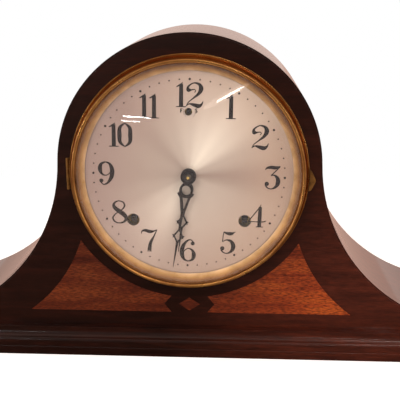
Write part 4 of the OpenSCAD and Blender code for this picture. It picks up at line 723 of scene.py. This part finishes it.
def bezel_profile():
    wall_r, seat_h = WALL_R + FIT, GLASS_LOW + GLASS_T + SEAT_H
    line = [(wall_r, PANEL_GAP), (BEZEL_R - LIP_FOOT, PANEL_GAP)]
    line += arc_points(BEZEL_R - LIP_W, LIP_MID, LIP_W, LIP_H, -90, 90, LIP_STEPS)
    line += [(BEZEL_R - GROOVE_OUT, GROOVE_TOP), (BEZEL_R - GROOVE_IN, GROOVE_BED)]
    for i in range(COVE_STEPS + 1):
        a = math.radians(COVE_FROM + COVE_SWEEP * i / COVE_STEPS)
        line.append((RIDGE_R + COVE_IN + (BEZEL_R - COVE_OUT - RIDGE_R) * (1 - math.sin(a)),
                     COVE_LOW + (COVE_TOP - COVE_LOW) * (1 - math.cos(a))))
    line.append((RIDGE_R - FIT, COVE_TOP + RIDGE_STEP))
    line += arc_points(RIDGE_R - RIDGE_HALF, BEZEL_H - RIDGE_DOWN, RIDGE_HALF, RIDGE_HALF,
                       RIDGE_FROM, RIDGE_TO, RIDGE_STEPS)
    line += [(WALL_R - WALL_T, BEZEL_H - WALL_DOWN), (WALL_R - WALL_T, seat_h), (wall_r, seat_h)]
    return line


print("the bezel's profile has", len(bezel_profile()), "points")

# %% spin the bezel
bezel = turned_piece("bezel_spun", bezel_profile(), bezel_brass)
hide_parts("bezel_ring")
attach(bezel, "bezel")
print("bezel has", len(bezel.data.polygons), "faces")

# %% [markdown]
# ## The domed glass
# A convex glass is a slice of a sphere. Its radius follows from the width at the rim and the rise in the
# middle. The inner and the outer face are the same arc, one glass thickness apart, and meet at a thin edge.
# %% the domed glass
DOME_STEPS = 40
RIM_GAP, SKIN = 0.12, 0.01
dome_rise = GLASS_H - GLASS_LOW - GLASS_T
glass_r = WALL_R - RIM_GAP
dome_r = (glass_r ** 2 + dome_rise ** 2) / (2 * dome_rise)


def dome_profile():
    lower, upper = [], []
    for i in range(DOME_STEPS + 1):
        a = math.asin(glass_r / dome_r) * i / DOME_STEPS
        r, h = dome_r * math.sin(a), GLASS_LOW + dome_rise - dome_r * (1 - math.cos(a))
        lower.append((r, h + SKIN))
        upper.append((r, h + GLASS_T - SKIN))
    return lower + upper[::-1]


dome = turned_piece("glass_dome", dome_profile(), glass, closed=False)
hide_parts("bezel_glass")
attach(dome, "bezel")
print("glass dome of radius", round(dome_r, 1), "mm")

# %% [markdown]
# ## Printed numerals
# The numbers are the old kind with thick and thin strokes and round ends. Each is drawn as a pen would draw
# it: a few strokes, every one a line of points with a width, smoothed, and laid down as a thin raised
# ribbon. A point is (across, up, width) in numeral heights, so one size sets them all, and a ball is a
# round dot at the end of a stroke. The nine has no strokes of its own: it is the six turned round.
# %% the strokes of the numerals
BALL = "ball"
STROKES = {
    "0": [
        [(0.30, 0.99, 0.04), (0.10, 0.80, 0.12), (0.08, 0.50, 0.155), (0.10, 0.20, 0.12),
         (0.30, 0.01, 0.04)],
        [(0.30, 0.99, 0.04), (0.50, 0.80, 0.12), (0.52, 0.50, 0.155), (0.50, 0.20, 0.12),
         (0.30, 0.01, 0.04)],
    ],
    "1": [
        [(0.24, 0.02, 0.15), (0.24, 0.50, 0.145), (0.24, 0.93, 0.135)],
        [(0.30, 0.99, 0.03), (0.19, 0.89, 0.06), (0.05, 0.82, 0.035)],
        [(0.04, 0.018, 0.035), (0.44, 0.018, 0.035)],
    ],
    "2": [
        [(0.37, 0.60, 0.03), (0.42, 0.66, 0.03), (0.37, 0.72, 0.035), (0.24, 0.70, 0.06),
         (0.13, 0.70, 0.14), (0.13, 0.84, 0.07), (0.34, 0.98, 0.045), (0.56, 0.93, 0.10),
         (0.64, 0.76, 0.165), (0.55, 0.56, 0.11), (0.33, 0.37, 0.05), (0.13, 0.20, 0.035),
         (0.06, 0.05, 0.035)],
        [(0.05, 0.06, 0.03), (0.18, 0.14, 0.05), (0.36, 0.10, 0.12), (0.54, 0.06, 0.15),
         (0.66, 0.12, 0.08), (0.73, 0.26, 0.02)],
    ],
    "3": [
        [(0.07, 0.82, 0.02), (0.14, 0.90, 0.07), (0.30, 0.93, 0.12), (0.50, 0.92, 0.12),
         (0.68, 0.98, 0.03)],
        [(0.68, 0.98, 0.035), (0.50, 0.78, 0.04), (0.31, 0.58, 0.04)],
        [(0.31, 0.58, 0.03), (0.45, 0.60, 0.06), (0.58, 0.48, 0.13), (0.61, 0.31, 0.165),
         (0.54, 0.13, 0.11), (0.36, 0.02, 0.045), (0.18, 0.06, 0.045), (0.09, 0.19, 0.06)],
        [(0.15, 0.23, 0.09), BALL],
    ],
    "4": [
        [(0.50, 0.02, 0.14), (0.51, 0.50, 0.14), (0.52, 0.90, 0.11)],
        [(0.56, 1.00, 0.02), (0.40, 0.74, 0.04), (0.05, 0.27, 0.04)],
        [(0.04, 0.25, 0.035), (0.40, 0.24, 0.035), (0.70, 0.25, 0.045), (0.78, 0.30, 0.02)],
        [(0.36, 0.018, 0.035), (0.66, 0.018, 0.035)],
    ],
    "5": [
        [(0.20, 0.98, 0.03), (0.32, 0.92, 0.10), (0.50, 0.90, 0.13), (0.64, 0.96, 0.04),
         (0.69, 1.00, 0.015)],
        [(0.20, 0.97, 0.035), (0.17, 0.75, 0.035), (0.15, 0.53, 0.035)],
        [(0.15, 0.53, 0.03), (0.32, 0.62, 0.05), (0.52, 0.55, 0.12), (0.61, 0.34, 0.17),
         (0.54, 0.13, 0.11), (0.36, 0.02, 0.045), (0.19, 0.06, 0.045), (0.09, 0.19, 0.06)],
        [(0.15, 0.24, 0.09), BALL],
    ],
    "6": [
        [(0.58, 0.88, 0.04), (0.44, 0.985, 0.045), (0.25, 0.87, 0.09), (0.11, 0.60, 0.155),
         (0.10, 0.32, 0.16), (0.19, 0.10, 0.09), (0.36, 0.015, 0.045)],
        [(0.36, 0.015, 0.045), (0.54, 0.10, 0.10), (0.60, 0.30, 0.16), (0.54, 0.50, 0.09),
         (0.39, 0.59, 0.045), (0.24, 0.53, 0.035), (0.15, 0.40, 0.03)],
        [(0.55, 0.82, 0.085), BALL],
    ],
    "7": [
        [(0.05, 0.78, 0.02), (0.08, 0.90, 0.05), (0.22, 0.94, 0.11), (0.42, 0.89, 0.13),
         (0.58, 0.92, 0.06), (0.72, 0.99, 0.02)],
        [(0.71, 0.98, 0.03), (0.58, 0.68, 0.06), (0.44, 0.38, 0.12), (0.39, 0.05, 0.15)],
        [(0.29, 0.018, 0.03), (0.49, 0.018, 0.03)],
    ],
    "8": [
        [(0.34, 0.53, 0.17), (0.17, 0.66, 0.15), (0.10, 0.79, 0.11), (0.17, 0.93, 0.06),
         (0.33, 0.985, 0.04), (0.50, 0.93, 0.055), (0.56, 0.79, 0.065), (0.49, 0.65, 0.05),
         (0.34, 0.53, 0.04), (0.16, 0.40, 0.045), (0.06, 0.23, 0.06), (0.15, 0.07, 0.055),
         (0.33, 0.015, 0.045), (0.54, 0.08, 0.08), (0.62, 0.24, 0.13), (0.52, 0.40, 0.17),
         (0.34, 0.53, 0.17)],
    ],
}
WIDTHS = {
    "0": 0.60, "1": 0.46, "2": 0.76, "3": 0.70, "4": 0.80, "5": 0.70, "6": 0.68, "7": 0.72, "8": 0.70,
    "9": 0.68,
}
print(len(STROKES), "signs of", sum(len(strokes) for strokes in STROKES.values()), "strokes in all")

# %% [markdown]
# ## The pen
# A curve through a few points gives a stroke its swing: the cubic between two points takes its slope from
# their neighbours, and the width swells along with the line. The ribbon that follows it has four sides, so
# the ink is a closed shape that lies a hair above the dial.
# %% a smooth line through points
CURVE_STEPS = 8


def between(a, b, c, d, t):
    square = (2 * a - 5 * b + 4 * c - d) * t * t
    cube = (3 * b - a - 3 * c + d) * t ** 3
    return 0.5 * (2 * b + (c - a) * t + square + cube)


def smooth_line(points):
    dense = []
    for i in range(len(points) - 1):
        four = points[max(i - 1, 0)], points[i], points[i + 1], points[min(i + 2, len(points) - 1)]
        for step in range(CURVE_STEPS):
            t = step / CURVE_STEPS
            dense.append(tuple(between(a, b, c, d, t) for a, b, c, d in zip(*four)))
    dense.append(tuple(points[-1]))
    return dense


print("each stretch of a stroke has", CURVE_STEPS, "steps")


# %% ribbons and balls of ink
PEN = 1.13
BALL_SIDES = 20


def ribbon(mesh, points, place):
    line = smooth_line(points)
    rims = []
    for i, (x, y, w) in enumerate(line):
        ax, ay, _ = line[max(i - 1, 0)]
        bx, by, _ = line[min(i + 1, len(line) - 1)]
        d = math.hypot(bx - ax, by - ay) or 1
        half = w / 2 * PEN
        nx, ny = -(by - ay) / d * half, (bx - ax) / d * half
        corners = ((1, 0), (-1, 0), (-1, 1), (1, 1))
        rims.append([mesh.verts.new(place(x + s * nx, y + s * ny, lift)) for s, lift in corners])
    for a, b in zip(rims, rims[1:]):
        for k in range(4):
            mesh.faces.new((a[k], a[(k + 1) % 4], b[(k + 1) % 4], b[k]))
    mesh.faces.new(rims[0][::-1])
    mesh.faces.new(rims[-1])


def disc(mesh, x, y, r, place):
    angles = [math.tau * i / BALL_SIDES for i in range(BALL_SIDES)]
    low, high = [[mesh.verts.new(place(x + r * math.cos(a), y + r * math.sin(a), lift)) for a in angles]
                 for lift in (0, 1)]
    for i in range(BALL_SIDES):
        j = (i + 1) % BALL_SIDES
        mesh.faces.new((low[i], low[j], high[j], high[i]))
    mesh.faces.new(low[::-1])
    mesh.faces.new(high)


def draw(mesh, strokes, place):
    for stroke in strokes:
        if stroke[-1] == BALL:
            disc(mesh, *stroke[0], place)
        else:
            ribbon(mesh, stroke, place)


print("the pen draws strokes", PEN, "times as wide as written")

# %% [markdown]
# ## Where the ink lies
# The printed dial sits a little turned under its hands, by less than a degree clockwise, so every place on
# it is turned by the same angle. Each piece of print becomes one plain mesh on the dial's face.
# %% places on the dial
INK_T, INK_GAP, DIAL_TURN = 0.05, 0.02, 0.9


def on_dial(x, z, lift):
    return Vector((x, FACE_Y - INK_GAP - lift * INK_T, DIAL_Z + z)) * MM


def turned_place(x0, z0, size, spin=0.0, shift=(0.0, 0.0)):
    angle = math.radians(spin - DIAL_TURN)
    c, s = math.cos(angle), math.sin(angle)

    def placed(x, y, lift):
        u, v = x + shift[0], y + shift[1]
        return on_dial(x0 + size * (c * u - s * v), z0 + size * (s * u + c * v), lift)

    return placed


def printed_piece(name, mesh):
    bmesh.ops.recalc_face_normals(mesh, faces=mesh.faces)
    data = bpy.data.meshes.new(name)
    mesh.to_mesh(data)
    mesh.free()
    data.materials.append(ink)
    piece = bpy.data.objects.new(name, data)
    scene.collection.objects.link(piece)
    return piece


print("the print is turned by", DIAL_TURN, "degrees")

# %% print the twelve numbers
NUMERAL_H, OVERLAP = 16.4, 0.06
NUMERAL_R, USUAL_R = {3: 56.3, 6: 54.0, 9: 56.2, 10: 53.6, 11: 53.9, 12: 54.6}, 54.7

ink_mesh = bmesh.new()
for number in range(1, 13):
    signs = str(number)
    turn = math.radians(30 * number + DIAL_TURN)
    r = NUMERAL_R.get(number, USUAL_R)
    cx, cz = r * math.sin(turn), r * math.cos(turn)
    x = -(sum(WIDTHS[sign] for sign in signs) - OVERLAP * (len(signs) - 1)) / 2
    for sign in signs:
        if sign == "9":
            upside_down = turned_place(cx, cz, NUMERAL_H, 180, (-WIDTHS[sign] - x, -0.5))
            draw(ink_mesh, STROKES["6"], upside_down)
        else:
            draw(ink_mesh, STROKES[sign], turned_place(cx, cz, NUMERAL_H, shift=(x, -0.5)))
        x += WIDTHS[sign] - OVERLAP
numerals = printed_piece("dial_numerals", ink_mesh)
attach(numerals, "case")
print("numerals have", len(numerals.data.polygons), "faces")

# %% [markdown]
# ## The minute track
# Sixty printed dots, every fifth one larger. Repeats that follow a circle are a job for Geometry Nodes: a
# circle of points, a disc on each, and a size picked by the point's number. The result is made real and
# turned into a plain mesh.
# %% the tree that sets the dots
TRACK_R, SMALL_DOT, LARGE_DOT = 65.0, 0.52, 0.8


def minute_dots():
    group = bpy.data.node_groups.new("minute_dots", "GeometryNodeTree")
    group.interface.new_socket("Geometry", in_out="OUTPUT", socket_type="NodeSocketGeometry")
    keys = {}
    for name, kind, value in (
        ("Count", "NodeSocketInt", 60), ("Radius", "NodeSocketFloat", TRACK_R * MM),
        ("Small dot", "NodeSocketFloat", SMALL_DOT * MM), ("Large dot", "NodeSocketFloat", LARGE_DOT * MM),
        ("Ink", "NodeSocketMaterial", ink),
    ):
        made = group.interface.new_socket(name, in_out="INPUT", socket_type=kind)
        made.default_value = value
        keys[name] = made.identifier
    given = add(group, "NodeGroupInput").outputs
    ring = add(group, "GeometryNodeMeshCircle", {"Vertices": given["Count"], "Radius": given["Radius"]})
    index = add(group, "GeometryNodeInputIndex").outputs[0]
    rest = add(group, "ShaderNodeMath", {0: index, 1: 5.0}, operation="MODULO").outputs[0]
    fifth = add(group, "ShaderNodeMath", {0: rest, 1: 0.5}, operation="LESS_THAN").outputs[0]
    size = add(group, "ShaderNodeMix", {0: fifth, 2: given["Small dot"], 3: given["Large dot"]}).outputs[0]
    dot = add(group, "GeometryNodeMeshCylinder", {"Vertices": 16, "Radius": 1.0, "Depth": 1.0},
              fill_type="NGON").outputs["Mesh"]
    scale = add(group, "ShaderNodeCombineXYZ", {0: size, 1: size, 2: INK_T * MM}).outputs[0]
    spots = add(group, "GeometryNodeInstanceOnPoints",
                {"Points": ring.outputs["Mesh"], "Instance": dot, "Scale": scale}).outputs[0]
    real = add(group, "GeometryNodeRealizeInstances", {0: spots}).outputs[0]
    inked = add(group, "GeometryNodeSetMaterial", {"Geometry": real, "Material": given["Ink"]}).outputs[0]
    add(group, "NodeGroupOutput", {0: inked})
    return group, keys


dots_group, dots_keys = minute_dots()
print("the tree's inputs are", ", ".join(dots_keys))


# %% print the dots
def mesh_from_nodes(name, group, values, place):
    holder = bpy.data.objects.new(name + "_holder", bpy.data.meshes.new(name + "_holder"))
    scene.collection.objects.link(holder)
    modifier = holder.modifiers.new("nodes", "NODES")
    modifier.node_group = group
    for key, value in values.items():
        modifier[key] = value
    bpy.context.view_layer.update()
    graph = bpy.context.evaluated_depsgraph_get()
    mesh = bpy.data.meshes.new_from_object(holder.evaluated_get(graph))
    mesh.transform(place)
    mesh.name = name
    holder.modifiers.remove(modifier)
    bpy.data.objects.remove(holder)
    piece = bpy.data.objects.new(name, mesh)
    scene.collection.objects.link(piece)
    return piece


on_face = Matrix.Translation((0, (FACE_Y - INK_GAP - INK_T / 2) * MM, DIAL_Z * MM))
clockwise = Matrix.Rotation(math.radians(DIAL_TURN), 4, "Y")
upright = Matrix.Rotation(math.radians(90), 4, "X")
dots = mesh_from_nodes("minute_dots", dots_group, {dots_keys["Count"]: 60}, on_face @ clockwise @ upright)
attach(dots, "case")
print("minute track has", len(dots.data.polygons), "faces")

# %% [markdown]
# ## The regulator's marks
# A small F and S, for faster and slower, stand beside the little hole under the twelve, with two short
# curved rows of ticks that show which way to turn. The same pen draws them.
# %% regulator marks
REG_Z, LETTER_H, LETTER_DROP = 43.4, 2.7, 0.6
TICK_IN, TICK_OUT, TICK_STEP, TICK_LEAN = 3.6, 4.4, 17, 14
LETTERS = {
    "F": [
        [(0.15, 0.0, 0.24), (0.15, 1.0, 0.24)],
        [(0.1, 0.95, 0.18), (0.6, 0.95, 0.18)],
        [(0.15, 0.52, 0.18), (0.5, 0.52, 0.18)],
    ],
    "S": [
        [(0.56, 0.82, 0.14), (0.36, 0.97, 0.18), (0.12, 0.80, 0.2), (0.32, 0.52, 0.24), (0.54, 0.24, 0.2),
         (0.30, 0.03, 0.18), (0.06, 0.18, 0.14)],
    ],
}

marks_mesh = bmesh.new()
for sign, x in (("F", -5.5), ("S", 4.4)):
    draw(marks_mesh, LETTERS[sign], turned_place(x, REG_Z - LETTER_DROP, LETTER_H))
for side in (-1, 1):
    for k in range(-2, 3):
        a = math.radians(90 - side * 90 + side * (k * TICK_STEP - TICK_LEAN))
        inner, outer = [(r * math.cos(a), REG_Z + r * math.sin(a)) for r in (TICK_IN, TICK_OUT)]
        ribbon(marks_mesh, [inner + (0.3,), outer + (0.22,)], turned_place(0, 0, 1))
marks = printed_piece("regulator_marks", marks_mesh)
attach(marks, "case")
print("marks have", len(marks.data.polygons), "faces")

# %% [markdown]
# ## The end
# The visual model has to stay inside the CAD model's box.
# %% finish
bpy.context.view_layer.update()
